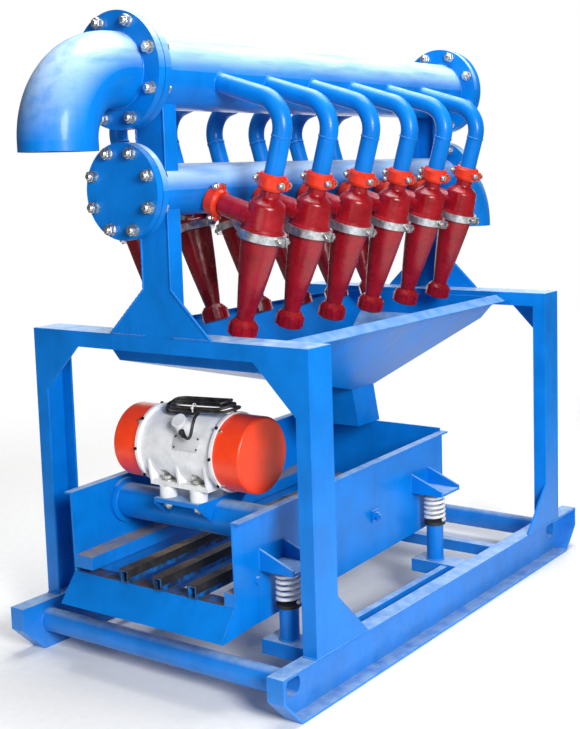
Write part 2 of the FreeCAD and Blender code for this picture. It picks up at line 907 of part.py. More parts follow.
def feed_elbow(flange):
    """Flanged bend that takes the feed up from below at the rear."""
    body = new_body("feed_bend")
    start = "header_rear_y - feed_flange_thick"
    turn_y = "header_rear_y + feed_straight + feed_bend_r"
    end_z = "feed_z - feed_bend_r - feed_tail"
    route = [(start, "feed_z"), (turn_y, "feed_z", "feed_bend_r"), (turn_y, end_z)]
    rings = [circle("0", "feed_z", "feed_r"), circle("0", "feed_z", "feed_r - feed_wall")]
    add_pipe(body, "YZ", route, "XZ", start, *rings)
    collar = copy_of(flange, "feed_elbow_flange", y=start, z="feed_z")
    return node(fuse("feed_elbow", [collar, body]), "feed_elbow")


def overflow_elbow(flange):
    """Flanged bend that lets the cleaned liquid fall at the front."""
    body = new_body("overflow_bend")
    start = "header_front_y + over_flange_thick"
    turn_y = "header_front_y - over_straight - over_bend_r"
    end_z = "over_z - over_bend_r - over_tail"
    route = [(start, "over_z"), (turn_y, "over_z", "over_bend_r"), (turn_y, end_z)]
    rings = [circle("0", "over_z", "over_r"), circle("0", "over_z", "over_r - over_wall")]
    add_pipe(body, "YZ", route, "XZ", start, *rings)
    collar = copy_of(flange, "overflow_elbow_flange", y="header_front_y", z="over_z")
    return node(fuse("overflow_elbow", [collar, body]), "overflow_elbow")


def flange_gasket(name, outer_r, bore_r):
    body = new_body(name)
    add_prism(body, "XZ", "0", "gasket_thick", circle("0", "0", outer_r), circle("0", "0", bore_r))
    return body


def joint_starts(thick):
    """Front face of the flange pair at each end of a header."""
    return {"front": "header_front_y", "rear": f"header_rear_y - 2 * {thick} - gasket_thick"}


def flange_joints():
    """Gaskets and bolts of the four flange pairs."""
    gaskets = []
    bolts = []
    kinds = {
        "feed": ("feed_z", "feed_flange_thick", "feed_bolt_circle_r", "feed_gasket_r", "feed_r - feed_wall"),
        "over": ("over_z", "over_flange_thick", "over_bolt_circle_r", "over_gasket_r", "over_r - over_wall"),
    }
    for kind, (z, thick, circle_r, gasket_r, bore_r) in kinds.items():
        gasket = flange_gasket(f"{kind}_gasket", gasket_r, bore_r)
        bolt = hex_bolt(f"{kind}_bolt", f"2 * {thick} + gasket_thick")
        for end, start in joint_starts(thick).items():
            gaskets.append(copy_of(gasket, f"{kind}_{end}_gasket", y=f"{start} + {thick}", z=z))
            for index in range(SIZES["bolt_count"]):
                angle = f"180 / bolt_count + {index} * 360 / bolt_count"
                x = f"{circle_r} * sin({angle})"
                height = f"{z} + {circle_r} * cos({angle})"
                bolts.append(copy_of(bolt, f"{kind}_{end}_bolt_{index}", x=x, y=start, z=height))
    node(group("flange_gaskets", gaskets), "flange_gaskets")
    node(group("flange_bolts", bolts), "flange_bolts")


# ---------------------------------------------------------------------------------------------
# Cyclones: each is drawn on its own axis, Z up through the overflow, inlet toward -X
# ---------------------------------------------------------------------------------------------


def cyclone_head():
    """Domed inlet head with the tangential nozzle and the upper clamp rim."""
    body = new_body("cyclone_head")
    middle = "-(clamp_start + clamp_end) / 2"
    profile = [
        ("0", "-pipe_end_gap"),
        ("nozzle_r", "-pipe_end_gap"),
        ("nozzle_r", "-neck_end", "neck_fillet"),
        ("shoulder_r", "-shoulder_at", "shoulder_fillet"),
        ("barrel_r", "-barrel_end"),
        ("rim_r", "-rim_start"),
        ("rim_r", "-clamp_start"),
        ("clamp_in_r", "-clamp_start"),
        ("clamp_in_r", middle),
        ("0", middle),
    ]
    revolve(body, profile)
    nozzle = circle("-inlet_offset", "-inlet_drop", "nozzle_r")
    add_prism(body, "YZ", "pipe_end_gap - inlet_reach", "inlet_reach - pipe_end_gap", nozzle)
    collar = circle("-inlet_offset", "-inlet_drop", "inlet_lip_r")
    add_prism(body, "YZ", "-inlet_lip_at", "inlet_lip_at - shoulder_r / 2", collar)
    return body


def cyclone_cone():
    """Slightly bulging cone with the lower clamp rim."""
    body = new_body("cyclone_cone")
    middle = "-(clamp_start + clamp_end) / 2"
    profile = [
        ("0", middle),
        ("clamp_in_r", middle),
        ("clamp_in_r", "-clamp_end"),
        ("cone_top_r", "-clamp_end"),
        ("cone_mid_r", "-cone_mid_at", "cone_bulge_r"),
        ("cone_end_r", "-cone_end_at"),
        ("cone_end_r", "apex_seat_rise - apex_end"),
        ("0", "apex_seat_rise - apex_end"),
    ]
    revolve(body, profile)
    bore = circle("0", "0", "apex_bore_r")
    cut_prism(body, "XY", "-apex_end", "apex_end - cone_mid_at", bore)
    return body


def apex_nut():
    """Ribbed nut that holds the underflow nozzle."""
    body = new_body("apex_nut")
    profile = [
        ("cone_end_r", "-cone_end_at"),
        ("apex_start_r", "-cone_end_at"),
        ("apex_r", "-apex_grip_at"),
        ("apex_r", "apex_edge - apex_end"),
        ("apex_r - apex_edge", "-apex_end"),
        ("apex_bore_r", "-apex_end"),
        ("apex_bore_r", "apex_seat_rise - apex_end"),
        ("cone_end_r", "apex_seat_rise - apex_end"),
    ]
    revolve(body, profile)
    half = "apex_rib_width / 2"
    rib = rectangle("apex_r - apex_edge", "apex_rib_r", f"-({half})", half)
    length = "apex_end - apex_grip_at - 2 * apex_edge"
    ribs = add_prism(body, "XY", "apex_edge - apex_end", length, rib)
    around(body, ribs, "Z_Axis", "apex_rib_count")
    return body


def body_clamp():
    """Two half bands with bolt lugs that hold the head to the cone."""
    body = new_body("body_clamp")
    width = "clamp_end - clamp_start"
    lugs = rectangle("-clamp_lug_x", "clamp_lug_x", "-clamp_lug_half", "clamp_lug_half")
    add_prism(body, "XY", "-clamp_end", width, circle("0", "0", "clamp_out_r"))
    add_prism(body, "XY", "-clamp_end", width, lugs)
    cut_prism(body, "XY", "-clamp_end", width, circle("0", "0", "clamp_in_r"))
    split = rectangle("-clamp_out_r * 2", "clamp_out_r * 2", "-clamp_split", "clamp_split")
    cut_prism(body, "XY", "-clamp_end", width, split)
    return body


def pipe_coupling():
    """Two-bolt grooved coupling about its own middle, its axis along Z."""
    body = new_body("pipe_coupling")
    lugs = rectangle("-coupling_lug_x", "coupling_lug_x", "-coupling_lug_half", "coupling_lug_half")
    profile = [
        ("nozzle_r", "-coupling_half"),
        ("coupling_r - coupling_shoulder", "-coupling_half"),
        ("coupling_r", "-coupling_land_half"),
        ("coupling_r", "coupling_land_half"),
        ("coupling_r - coupling_shoulder", "coupling_half"),
        ("nozzle_r", "coupling_half"),
    ]
    revolve(body, profile)
    add_prism(body, "XY", "-coupling_land_half", "2 * coupling_land_half", lugs)
    cut_prism(body, "XY", "-coupling_half", "2 * coupling_half", circle("0", "0", "nozzle_r"))
    split = rectangle("-2 * coupling_r", "2 * coupling_r", "-coupling_split", "coupling_split")
    cut_prism(body, "XY", "-coupling_half", "2 * coupling_half", split)
    return body


def overflow_branch():
    """Pipe from the overflow coupling up and over to the overflow header."""
    body = new_body("overflow_branch")
    route = [("0", "pipe_end_gap"), ("0", "branch_rise", "branch_bend_r"), ("-branch_reach", "branch_rise")]
    rings = [circle("0", "0", "nozzle_r"), circle("0", "0", "nozzle_bore_r")]
    add_pipe(body, "XZ", route, "XY", "pipe_end_gap", *rings)
    return body


def cyclones():
    unit = group("cyclone_unit", [cyclone_head(), cyclone_cone(), apex_nut()])
    clamp = body_clamp()
    coupling = pipe_coupling()
    inlet = copy_of(coupling, "inlet_coupling", "-inlet_reach", "-inlet_offset", "-inlet_drop", pitch="-90")
    couplings = group("coupling_pair", [coupling, inlet])
    branch = overflow_branch()
    rows = {"right": ([], [], []), "left": ([], [], [])}
    for name, x, y, z, yaw in row_spots("0", "0", "0"):
        spot = (x, y, z, yaw, "cyclone_tilt")
        node(group(f"cyclone_{name}", [copy_of(unit, f"unit_{name}", *spot)]), f"cyclone_{name}")
        row = rows[name.split("_")[0]]
        row[0].append(copy_of(clamp, f"clamp_{name}", *spot))
        row[1].append(copy_of(couplings, f"couplings_{name}", *spot))
        row[2].append(copy_of(branch, f"branch_{name}", *spot))
    for side, (row_clamps, row_couplings, row_branches) in rows.items():
        node(group(f"body_clamps_{side}", row_clamps), f"body_clamps_{side}")
        node(group(f"pipe_couplings_{side}", row_couplings), f"pipe_couplings_{side}")
        pipes = group(f"branches_{side}", row_branches)
        saddle = along_y(f"saddle_{side}", "over_r", "header_front_y", "header_rear_y", "over_z")
        node(cut(f"overflow_pipes_{side}", pipes, saddle), f"overflow_pipes_{side}")


# ---------------------------------------------------------------------------------------------
# Springs
# ---------------------------------------------------------------------------------------------


def coil_spring():
    body = new_body("coil_spring")
    wire = circle("spring_mean_r", "spring_wire_r", "spring_wire_r")
    profile = sketch_on(body, "XZ", "0", [wire])
    helix = body.newObject("PartDesign::AdditiveHelix", "coil_spring_helix")
    helix.Profile = profile
    helix.ReferenceAxis = (profile, ["V_Axis"])
    helix.Mode = "height-turns-angle"
    helix.setExpression("Height", bound("spring_gap - 2 * seat_thick - 2 * spring_wire_r"))
    helix.setExpression("Turns", bound("spring_turns"))
    helix.Angle = 0
    doc.recompute()
    return body


def rubber_seat():
    body = new_body("rubber_seat")
    add_prism(body, "XY", "0", "seat_thick", circle("0", "0", "seat_r"))
    return body


def springs():
    spring = coil_spring()
    seat = rubber_seat()
    lower = []
    upper = []
    for end in ("front", "rear"):
        coils = []
        for side, x in (("right", "spring_x"), ("left", "-spring_x")):
            spot = f"{end}_spring_y"
            foot = f"{end}_seat_z"
            name = f"{end}_{side}"
            lower.append(copy_of(seat, f"lower_seat_{name}", x, spot, foot))
            coils.append(copy_of(spring, f"spring_{name}", x, spot, f"{foot} + seat_thick"))
            top = f"{foot} + spring_gap - seat_thick"
            upper.append(copy_of(seat, f"upper_seat_{name}", x, spot, top))
        node(group(f"{end}_springs", coils), f"{end}_springs")
    node(group("lower_spring_seats", lower), "lower_spring_seats")
    node(group("upper_spring_seats", upper), "upper_spring_seats")


# ---------------------------------------------------------------------------------------------
# Vibrating deck
# ---------------------------------------------------------------------------------------------


def deck_side_plate():
    """Side plate with its top flange and two brackets that stand on the springs."""
    body = new_body("deck_side_plate_right")
    side = [
        ("deck_front_y", "deck_front_z"),
        ("deck_sill_y", "deck_sill_z"),
        ("lip_tip_y", "lip_tip_z"),
        ("deck_keel_y", "deck_keel_z"),
        ("deck_rear_y", "deck_rear_low_z"),
        ("deck_rear_y", "deck_rear_z"),
    ]
    add_prism(body, "YZ", "deck_x - thin_plate", "thin_plate", side)
    flange = [
        ("deck_front_y", "deck_front_z"),
        ("deck_front_y", "deck_front_z - thin_plate"),
        ("deck_rear_y", "deck_rear_z - thin_plate"),
        ("deck_rear_y", "deck_rear_z"),
    ]
    add_prism(body, "YZ", "deck_x", "deck_flange", flange)
    for end in ("front", "rear"):
        seat_z = f"{end}_seat_z + spring_gap"
        low_y = f"{end}_spring_y - bracket_half"
        seat = rectangle("deck_x", "bracket_out_x", low_y, f"{end}_spring_y + bracket_half")
        add_prism(body, "XY", seat_z, "plate", seat)
        gusset = [
            ("deck_x", f"{seat_z} + plate"),
            ("bracket_out_x", f"{seat_z} + plate"),
            ("bracket_out_x", f"{seat_z} + plate + bracket_nose"),
            ("deck_x", f"{end}_bracket_z"),
        ]
        add_prism(body, "XZ", low_y, "plate", gusset)
        add_prism(body, "XZ", f"{low_y} + 2 * bracket_half - plate", "plate", gusset)
    add_prism(body, "YZ", "deck_x", "stop_height", circle("stop_y", "stop_z", "stop_r"))
    half = "tension_washer_half"
    washer = rectangle(f"tension_y - {half}", f"tension_y + {half}", f"tension_z - {half}", f"tension_z + {half}")
    add_prism(body, "YZ", "deck_x", "plate", washer)
    nut = hexagon("tension_nut_r", "tension_y", "tension_z")
    add_prism(body, "YZ", "deck_x + plate", "tension_nut_thick", nut)
    bolt = circle("tension_y", "tension_z", "tension_bolt_r")
    add_prism(body, "YZ", "deck_x + plate", "tension_nut_thick + tension_bolt_end", bolt)
    return node(body, "deck_side_plate_right")


def deck_rear_wall():
    body = new_body("deck_rear_wall")
    inner = "deck_x - thin_plate"
    wall = rectangle(f"-({inner})", inner, "deck_rear_low_z", "deck_wall_top_z")
    add_prism(body, "XZ", "deck_rear_y - thin_plate", "thin_plate", wall)
    return node(body, "deck_rear_wall")


def discharge_lip():
    """Bent plate between the side plates: a sill under the bars and an apron that drops away."""
    body = new_body("discharge_lip")
    inner = "deck_x - thin_plate"
    sill = "bar_low_z - sheet_plate"
    plate_outline = [
        ("deck_keel_y", "bar_low_z"),
        ("deck_sill_y", "bar_low_z"),
        ("lip_tip_y", "lip_tip_z"),
        ("lip_tip_y + sheet_plate", "lip_tip_z"),
        ("deck_sill_y + sheet_plate / 2", sill),
        ("deck_keel_y", sill),
    ]
    add_prism(body, "YZ", f"-({inner})", f"2 * ({inner})", plate_outline)
    return node(body, "discharge_lip")


def rising_bar(feature, body, low_x, width, front_y, low_z, height):
    """Adds or cuts a bar along the deck that rises to the rear with it."""
    rear_y = "deck_rear_y - thin_plate"
    rise = f"({rear_y} - ({front_y})) * deck_rise"
    side = [
        (front_y, low_z),
        (rear_y, f"{low_z} + {rise}"),
        (rear_y, f"{low_z} + {rise} + {height}"),
        (front_y, f"{low_z} + {height}"),
    ]
    feature(body, "YZ", low_x, width, side)


def bar_places():
    for index in range(SIZES["bar_count"]):
        yield f"bar_start_x + {index} * bar_spacing"


def screen_support_bars():
    """Rectangular tubes with open front ends."""
    body = new_body("screen_support_bars")
    for low_x in bar_places():
        rising_bar(add_prism, body, low_x, "bar_width", "deck_front_y", "bar_low_z", "bar_height")
        inside = (f"{low_x} + bar_wall", "bar_width - 2 * bar_wall")
        height = ("bar_low_z + bar_wall", "bar_height - 2 * bar_wall")
        rising_bar(cut_prism, body, *inside, "deck_front_y", *height)
    return node(body, "screen_support_bars")


def bar_rubber_caps():
    """Rubber channels pressed over the tops of the bars, for the screen to lie on."""
    body = new_body("bar_rubber_caps")
    low_z = "bar_low_z + bar_height + bar_rubber_wall - bar_rubber_height"
    width = "bar_width + 2 * bar_rubber_wall"
    for low_x in bar_places():
        outside = (f"{low_x} - bar_rubber_wall", width)
        rising_bar(add_prism, body, *outside, "deck_front_y", low_z, "bar_rubber_height")
        rising_bar(cut_prism, body, low_x, "bar_width", "deck_front_y", "bar_low_z", "bar_height")
    return node(body, "bar_rubber_caps")


def deck_side_rails():
    body = new_body("deck_side_rails")
    inner = "deck_x - thin_plate"
    low_z = "left_rail_z - rail_height"
    left = (f"-({inner})", f"left_rail_x + {inner}")
    rising_bar(add_prism, body, *left, "deck_sill_y", low_z, "rail_height")
    low_z = "right_rail_z - rail_height"
    right = ("right_rail_x", f"{inner} - right_rail_x")
    rising_bar(add_prism, body, *right, "deck_sill_y", low_z, "rail_height")
    return node(body, "deck_side_rails")


# ---------------------------------------------------------------------------------------------
# Vibration motor
# ---------------------------------------------------------------------------------------------


def motor_tube():
    """Tube between the side plates, with a welded collar at each end."""
    body = new_body("motor_tube")
    inner = "deck_x - thin_plate"
    bore = circle("motor_y", "motor_tube_z", "motor_tube_r - motor_tube_wall")
    tube = circle("motor_y", "motor_tube_z", "motor_tube_r")
    add_prism(body, "YZ", f"-({inner})", f"2 * ({inner})", tube, bore)
    collar = circle("motor_y", "motor_tube_z", "tube_collar_r")
    for start in (f"-({inner})", f"{inner} - tube_collar_width"):
        add_prism(body, "YZ", start, "tube_collar_width", collar, bore)
    return node(body, "motor_tube")


def motor_base():
    """Base plate on two saddle webs, all coped to the tube."""
    body = new_body("motor_base")
    low_x = "motor_mid_x - base_half_x"
    high_x = "motor_mid_x + base_half_x"
    low_y = "motor_y - base_half_y"
    high_y = "motor_y + base_half_y"
    plate_outline = rectangle(low_x, high_x, low_y, high_y)
    add_prism(body, "XY", "base_low_z", "base_top_z - base_low_z", plate_outline)
    web = [
        (low_y, "base_low_z"),
        ("motor_y - motor_tube_r", "motor_tube_z"),
        ("motor_y + motor_tube_r", "motor_tube_z"),
        (high_y, "base_low_z"),
    ]
    for web_x in (low_x, f"{high_x} - plate"):
        add_prism(body, "YZ", web_x, "plate", web)
    tube = circle("motor_y", "motor_tube_z", "motor_tube_r")
    cut_prism(body, "YZ", low_x, "2 * base_half_x", tube)
    holes = [circle(x, y, "foot_bolt_hole_r") for x, y in foot_spots()]
    cut_prism(body, "XY", "base_low_z", "base_top_z - base_low_z", *holes)
    return node(body, "motor_base")


def foot_spots():
    """Places of the four feet and their bolts."""
    for side_x in ("-foot_spacing / 2", "foot_spacing / 2"):
        for side_y in ("-foot_half_y", "foot_half_y"):
            yield f"motor_mid_x + {side_x}", f"motor_y + {side_y}"


def motor_body():
    """Barrel on its own X axis, with end rims, a bore for the shaft, four feet on round pads and
    room above each foot for its bolt."""
    body = new_body("motor_barrel")
    barrel = [
        ("motor_bore_r", "-motor_body_half"),
        ("motor_rim_r", "-motor_body_half"),
        ("motor_rim_r", "motor_rim_thick - motor_body_half"),
        ("motor_body_r", "motor_rim_thick - motor_body_half"),
        ("motor_waist_r", "0", "motor_bulge_r"),
        ("motor_body_r", "motor_body_half - motor_rim_thick"),
        ("motor_rim_r", "motor_body_half - motor_rim_thick"),
        ("motor_rim_r", "motor_body_half"),
        ("motor_bore_r", "motor_body_half"),
    ]
    revolve(body, barrel)
    lying = copy_of(body, "motor_barrel_lying", "motor_mid_x", "motor_y", "motor_z", pitch="90")
    feet = new_body("motor_feet")
    low_x = "motor_mid_x - foot_plate_half_x"
    high_x = "motor_mid_x + foot_plate_half_x"
    low_y = "motor_y - foot_plate_half_y"
    high_y = "motor_y + foot_plate_half_y"
    foot_plate = rectangle(low_x, high_x, low_y, high_y)
    add_prism(feet, "XY", "foot_plate_low_z", "foot_plate_thick", foot_plate)
    pads = [circle(x, y, "foot_pad_r") for x, y in foot_spots()]
    add_prism(feet, "XY", "base_top_z", "foot_plate_low_z - base_top_z", *pads)
    rib = [
        (low_y, "foot_plate_low_z"),
        (high_y, "foot_plate_low_z"),
        ("motor_y + foot_rib_top_half", "foot_rib_top_z"),
        ("motor_y - foot_rib_top_half", "foot_rib_top_z"),
    ]
    for rib_x in (low_x, "motor_mid_x - plate / 2", f"{high_x} - plate"):
        add_prism(feet, "YZ", rib_x, "plate", rib)
    holes = [circle(x, y, "foot_bolt_hole_r") for x, y in foot_spots()]
    foot_height = "foot_plate_low_z + foot_plate_thick - base_top_z"
    cut_prism(feet, "XY", "base_top_z", foot_height, *holes)
    low_x = "motor_mid_x - motor_body_half"
    bore = cylinder("motor_bore", "motor_bore_r", "2 * motor_body_half", low_x, "motor_y", "motor_z", pitch="90")
    tools = [bore]
    foot_top = "foot_plate_low_z + foot_plate_thick"
    for index, (x, y) in enumerate(foot_spots()):
        pocket = ("foot_pocket_r", "foot_pocket_height", x, y, foot_top)
        tools.append(cylinder(f"foot_pocket_{index}", *pocket))
    whole = fuse("motor_casting", [lying, feet])
    return node(cut("motor_body", whole, fuse("motor_openings", tools)), "motor_body")


def motor_bolts():
    foot_top = "foot_plate_low_z + foot_plate_thick"
    bolt = hex_bolt("foot_bolt", f"{foot_top} - base_low_z")
    bolts = []
    for index, (x, y) in enumerate(foot_spots()):
        bolts.append(copy_of(bolt, f"foot_bolt_{index}", x, y, foot_top, roll="-90"))
    return node(group("motor_bolts", bolts), "motor_bolts")


def motor_end_cap():
    """Deep pressed cap that covers the eccentric weight, open toward the motor."""
    body = new_body("motor_end_cap")
    inner_r = "cap_r - cap_wall"
    outer_end = "motor_body_half + cap_length"
    inner_end = f"{outer_end} - cap_wall"
    profile = [
        (inner_r, "motor_body_half"),
        ("cap_r", "motor_body_half"),
        ("cap_r", outer_end, "cap_corner_r"),
        ("0", outer_end),
        ("0", inner_end),
        (inner_r, inner_end, "cap_corner_r - cap_wall"),
    ]
    revolve(body, profile)
    return body


def motor_end_caps():
    cap = motor_end_cap()
    right = copy_of(cap, "motor_cap_right", "motor_mid_x", "motor_y", "motor_z", pitch="90")
    left = copy_of(cap, "motor_cap_left", "motor_mid_x", "motor_y", "motor_z", pitch="-90")
    return node(group("motor_end_caps", [right, left]), "motor_end_caps")


def rotor():
    """Shaft with a half-moon weight at each end, hanging at rest."""
    body = new_body("rotor_line")
    add_prism(body, "XY", "-shaft_half", "2 * shaft_half", circle("0", "0", "shaft_r"))
    weight_start = "motor_body_half + weight_gap"
    for start in (weight_start, f"-({weight_start}) - weight_thick"):
        add_prism(body, "XY", start, "weight_thick", circle("0", "0", "weight_r"))
        bite = rectangle("-weight_r", "-shaft_r - weight_hub", "-weight_r", "weight_r")
        cut_prism(body, "XY", start, "weight_thick", bite)
    lying = copy_of(body, "rotor_lying", "motor_mid_x", "motor_y", "motor_z", pitch="90")
    return node(group("rotor", [lying]), "rotor")


# ---------------------------------------------------------------------------------------------
# Motor cable
# ---------------------------------------------------------------------------------------------


def route_points():
    return [Vector(x, y + SIZES["skid_mid_y"], z) for x, y, z in CABLE_ROUTE]


def cable_gland():
    """Round cable entry that leans forward off the barrel, with a gland along the cable's start."""
    post = ("entry_r", "entry_end - motor_body_r / 2", "entry_x")
    reach = "motor_body_r / 2 * sqrt(0.5)"
    entry = cylinder("cable_entry", *post, f"motor_y - {reach}", f"motor_z + {reach}", roll="45")
    points = route_points()
    way = (points[1] - points[0]).normalize()
    gland = doc.addObject("Part::Cylinder", "gland_barrel")
    gland.setExpression("Radius", bound("gland_r"))
    gland.setExpression("Height", bound("gland_length"))
    start = points[0] - way * SIZES["gland_length"] - Vector(0, SIZES["skid_mid_y"], 0)
    gland.Placement = FreeCAD.Placement(start, FreeCAD.Rotation(Vector(0, 0, 1), way))
    whole = fuse("gland_whole", [entry, gland])
    barrel = cylinder("entry_seat", "motor_waist_r", "2 * motor_body_half", "motor_mid_x - motor_body_half",
                      "motor_y", "motor_z", pitch="90")
    return node(cut("cable_gland", whole, barrel), "cable_gland")


def cable():
    """Tube along straight runs joined by tangent arcs, as large as the runs allow."""
    points = route_points()
    edges = []
    start = points[0]
    length = 0
    for before, corner, after in zip(points, points[1:], points[2:]):
        way_in = corner - before
        way_out = after - corner
        turn = way_in.getAngle(way_out)
        trim = 0.45 * min(way_in.Length, way_out.Length)
        radius = trim / math.tan(turn / 2)
        first = corner - way_in.normalize() * trim
        last = corner + way_out.normalize() * trim
        inward = (way_out - way_in).normalize()
        middle = corner + inward * (math.hypot(radius, trim) - radius)
        edges.append(Part.LineSegment(start, first).toShape())
        edges.append(Part.Arc(first, middle, last).toShape())
        length += (first - start).Length + radius * turn
        print(f"cable turn {math.degrees(turn):.0f} degrees, radius {radius:.1f}")
        start = last
    edges.append(Part.LineSegment(start, points[-1]).toShape())
    length += (points[-1] - start).Length
    path = Part.Wire(edges)
    ring = Part.Circle(points[0], points[1] - points[0], SIZES["cable_r"]).toShape()
    tube = path.makePipeShell([Part.Wire([ring])], True, False)
    expected = math.pi * SIZES["cable_r"] ** 2 * length
    print(f"cable volume {tube.Volume:.0f}, section times length {expected:.0f}, length {length:.0f}")
    solid = doc.addObject("Part::Feature", "cable")
    solid.Shape = tube
    nodes.append(solid)
    return solid


def cable_hank():
    """Outer shape of the bundled cable: a flat slab with round ends."""
    body = new_body("cable_hank")
    half_length = "hank_length / 2"
    half_width = "hank_width / 2"
    round_end = "hank_width / 2 - 1"
    corners = []
    for side_x, side_y in ((-1, -1), (1, -1), (1, 1), (-1, 1)):
        x = f"hank_x + {side_x} * {half_length}"
        y = f"hank_y + {side_y} * {half_width}"
        corners.append((x, y, round_end))
    add_prism(body, "XY", "hank_low_z", "hank_thick", corners)
    return node(body, "cable_hank")


def cable_tie():
    """Flat strap round the middle of the hank."""
    body = new_body("cable_tie")
    low_y = "hank_y - hank_width / 2"
    high_y = "hank_y + hank_width / 2"
    high_z = "hank_low_z + hank_thick"
    outer = rectangle(f"{low_y} - tie_thick", f"{high_y} + tie_thick",
                      "hank_low_z - tie_thick", f"{high_z} + tie_thick")
    inner = rectangle(low_y, high_y, "hank_low_z", high_z)
    add_prism(body, "YZ", "tie_x", "tie_width", outer, inner)
    return node(body, "cable_tie")


# ---------------------------------------------------------------------------------------------
# The whole machine
# ---------------------------------------------------------------------------------------------


def build():
    mirror_left(skid_runner(), "skid_runner_left")
    skid_cross_pipes()
    rear_cross_channel()
    mirror_left(spring_carrier(), "spring_carrier_left")
    turn_to_rear(front_portal(), "rear_portal")
    turn_to_rear(front_header_column(), "rear_header_column")
    hopper()
    hopper_chute()
    feed_sizes = ("feed_flange_r", "feed_flange_thick", "feed_bolt_circle_r")
    over_sizes = ("over_flange_r", "over_flange_thick", "over_bolt_circle_r")
    feed_flange = pipe_flange("feed_flange", *feed_sizes, "feed_r - feed_wall")
    over_flange = pipe_flange("over_flange", *over_sizes, "over_r - over_wall")
    header("feed_header", "feed_r", "feed_wall", "feed_flange_thick", "feed_z", feed_flange,
           feed_branches())
    feed_stubs()
    header("overflow_header", "over_r", "over_wall", "over_flange_thick", "over_z", over_flange,
           overflow_branches())
    feed_blind = pipe_flange("feed_blind", *feed_sizes)
    over_blind = pipe_flange("over_blind", *over_sizes)
    front_blind = copy_of(feed_blind, "feed_blind_placed", y="header_front_y", z="feed_z")
    rear_blind = copy_of(over_blind, "over_blind_placed", y="header_rear_y - over_flange_thick", z="over_z")
    node(group("feed_blind_flange", [front_blind]), "feed_blind_flange")
    node(group("overflow_blind_flange", [rear_blind]), "overflow_blind_flange")
    feed_elbow(feed_flange)
    overflow_elbow(over_flange)
    flange_joints()
    cyclones()
    springs()
    mirror_left(deck_side_plate(), "deck_side_plate_left")
    deck_rear_wall()
    discharge_lip()
    screen_support_bars()
    bar_rubber_caps()
    deck_side_rails()
    motor_tube()
    motor_base()
    motor_body()
    motor_bolts()
    motor_end_caps()
    rotor()
    cable_gland()
    cable()
    cable_hank()
    cable_tie()


def check():
    """Stops on any failed object or sub-part."""
    doc.recompute()
    for thing in doc.Objects:
        if "Invalid" in thing.State or "Error" in thing.State:
            raise RuntimeError(f"{thing.Label} failed: {thing.State}")
    for thing in nodes:
        if thing.Shape.isNull() or not thing.Shape.isValid() or thing.Shape.Volume < 1:
            raise RuntimeError(f"{thing.Label} has no valid shape")


def export():
    os.makedirs("parts", exist_ok=True)
    for thing in nodes:
        thing.Shape.exportStep(f"parts/{thing.Label}.step")
        box = thing.Shape.BoundBox
        low = f"({box.XMin:.0f}, {box.YMin:.0f}, {box.ZMin:.0f})"
        high = f"({box.XMax:.0f}, {box.YMax:.0f}, {box.ZMax:.0f})"
        print(f"{thing.Label}: {low} to {high}, {len(thing.Shape.Solids)} solids")


build()
check()
export()
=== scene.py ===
import json
import math
import bmesh
import bpy
from bpy.props import FloatProperty, FloatVectorProperty, IntProperty, PointerProperty
from mathutils import Matrix, Vector


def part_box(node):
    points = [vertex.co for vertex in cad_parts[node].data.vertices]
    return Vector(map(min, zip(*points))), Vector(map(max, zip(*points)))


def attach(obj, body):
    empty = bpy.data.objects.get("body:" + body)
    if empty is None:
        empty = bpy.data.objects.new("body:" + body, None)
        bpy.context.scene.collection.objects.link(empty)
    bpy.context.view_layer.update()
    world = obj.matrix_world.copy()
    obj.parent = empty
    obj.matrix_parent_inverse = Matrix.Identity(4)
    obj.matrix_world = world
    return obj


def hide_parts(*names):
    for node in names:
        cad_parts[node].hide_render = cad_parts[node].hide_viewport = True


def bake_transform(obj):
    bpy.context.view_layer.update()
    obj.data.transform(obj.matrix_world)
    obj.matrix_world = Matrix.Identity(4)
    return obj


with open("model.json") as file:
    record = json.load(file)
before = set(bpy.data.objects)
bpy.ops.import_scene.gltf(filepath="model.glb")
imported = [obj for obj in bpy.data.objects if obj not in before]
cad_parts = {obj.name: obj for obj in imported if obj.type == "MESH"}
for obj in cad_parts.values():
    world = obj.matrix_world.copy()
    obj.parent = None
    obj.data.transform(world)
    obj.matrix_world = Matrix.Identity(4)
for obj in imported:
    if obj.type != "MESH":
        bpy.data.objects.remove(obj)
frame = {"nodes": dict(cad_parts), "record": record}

bl_info = {
    "name": "Hydrocyclone desilter",
    "version": (1, 0, 0),
    "blender": (4, 5, 0),
    "location": "View3D > Sidebar > Desilter",
    "description": "Dresses a twelve-cone desilter with its finishes, fasteners, welds and cable",
    "category": "Object",
}

NODES = frame["nodes"]

# The skid's own middle is this far behind the middle of the overall box
MIDDLE_Y = 0.0235

# Height that the studio lights look at
MACHINE_MIDDLE = 0.9

# Headers: height, pipe radius, flange thickness and bolt circle radius
FEED = {"z": 1.509, "pipe": 0.0795, "flange": 0.022, "circle": 0.120}
OVERFLOW = {"z": 1.857, "pipe": 0.1095, "flange": 0.024, "circle": 0.1475}
HEADER_FRONT = -0.948 + MIDDLE_Y
HEADER_REAR = 0.942 + MIDDLE_Y
GASKET = 0.003
BOLT_COUNT = 8

# Cyclones: the overflow coupling's middle, the pitch along a row and the lean. From that middle,
# INLET is the inlet coupling's, BRANCH_RISE the overflow pipe's end and BEND_SEAM the seam on it.
ROW_X = 0.293
ROW_START = -0.610 + MIDDLE_Y
ROW_Z = 1.526
PITCH = 0.240
TILT = math.radians(16.5)
NOZZLE_R = 0.030
INLET = Vector((-0.171, -0.030, -0.112))
BRANCH_RISE = 0.237
BEND_SEAM = 0.138

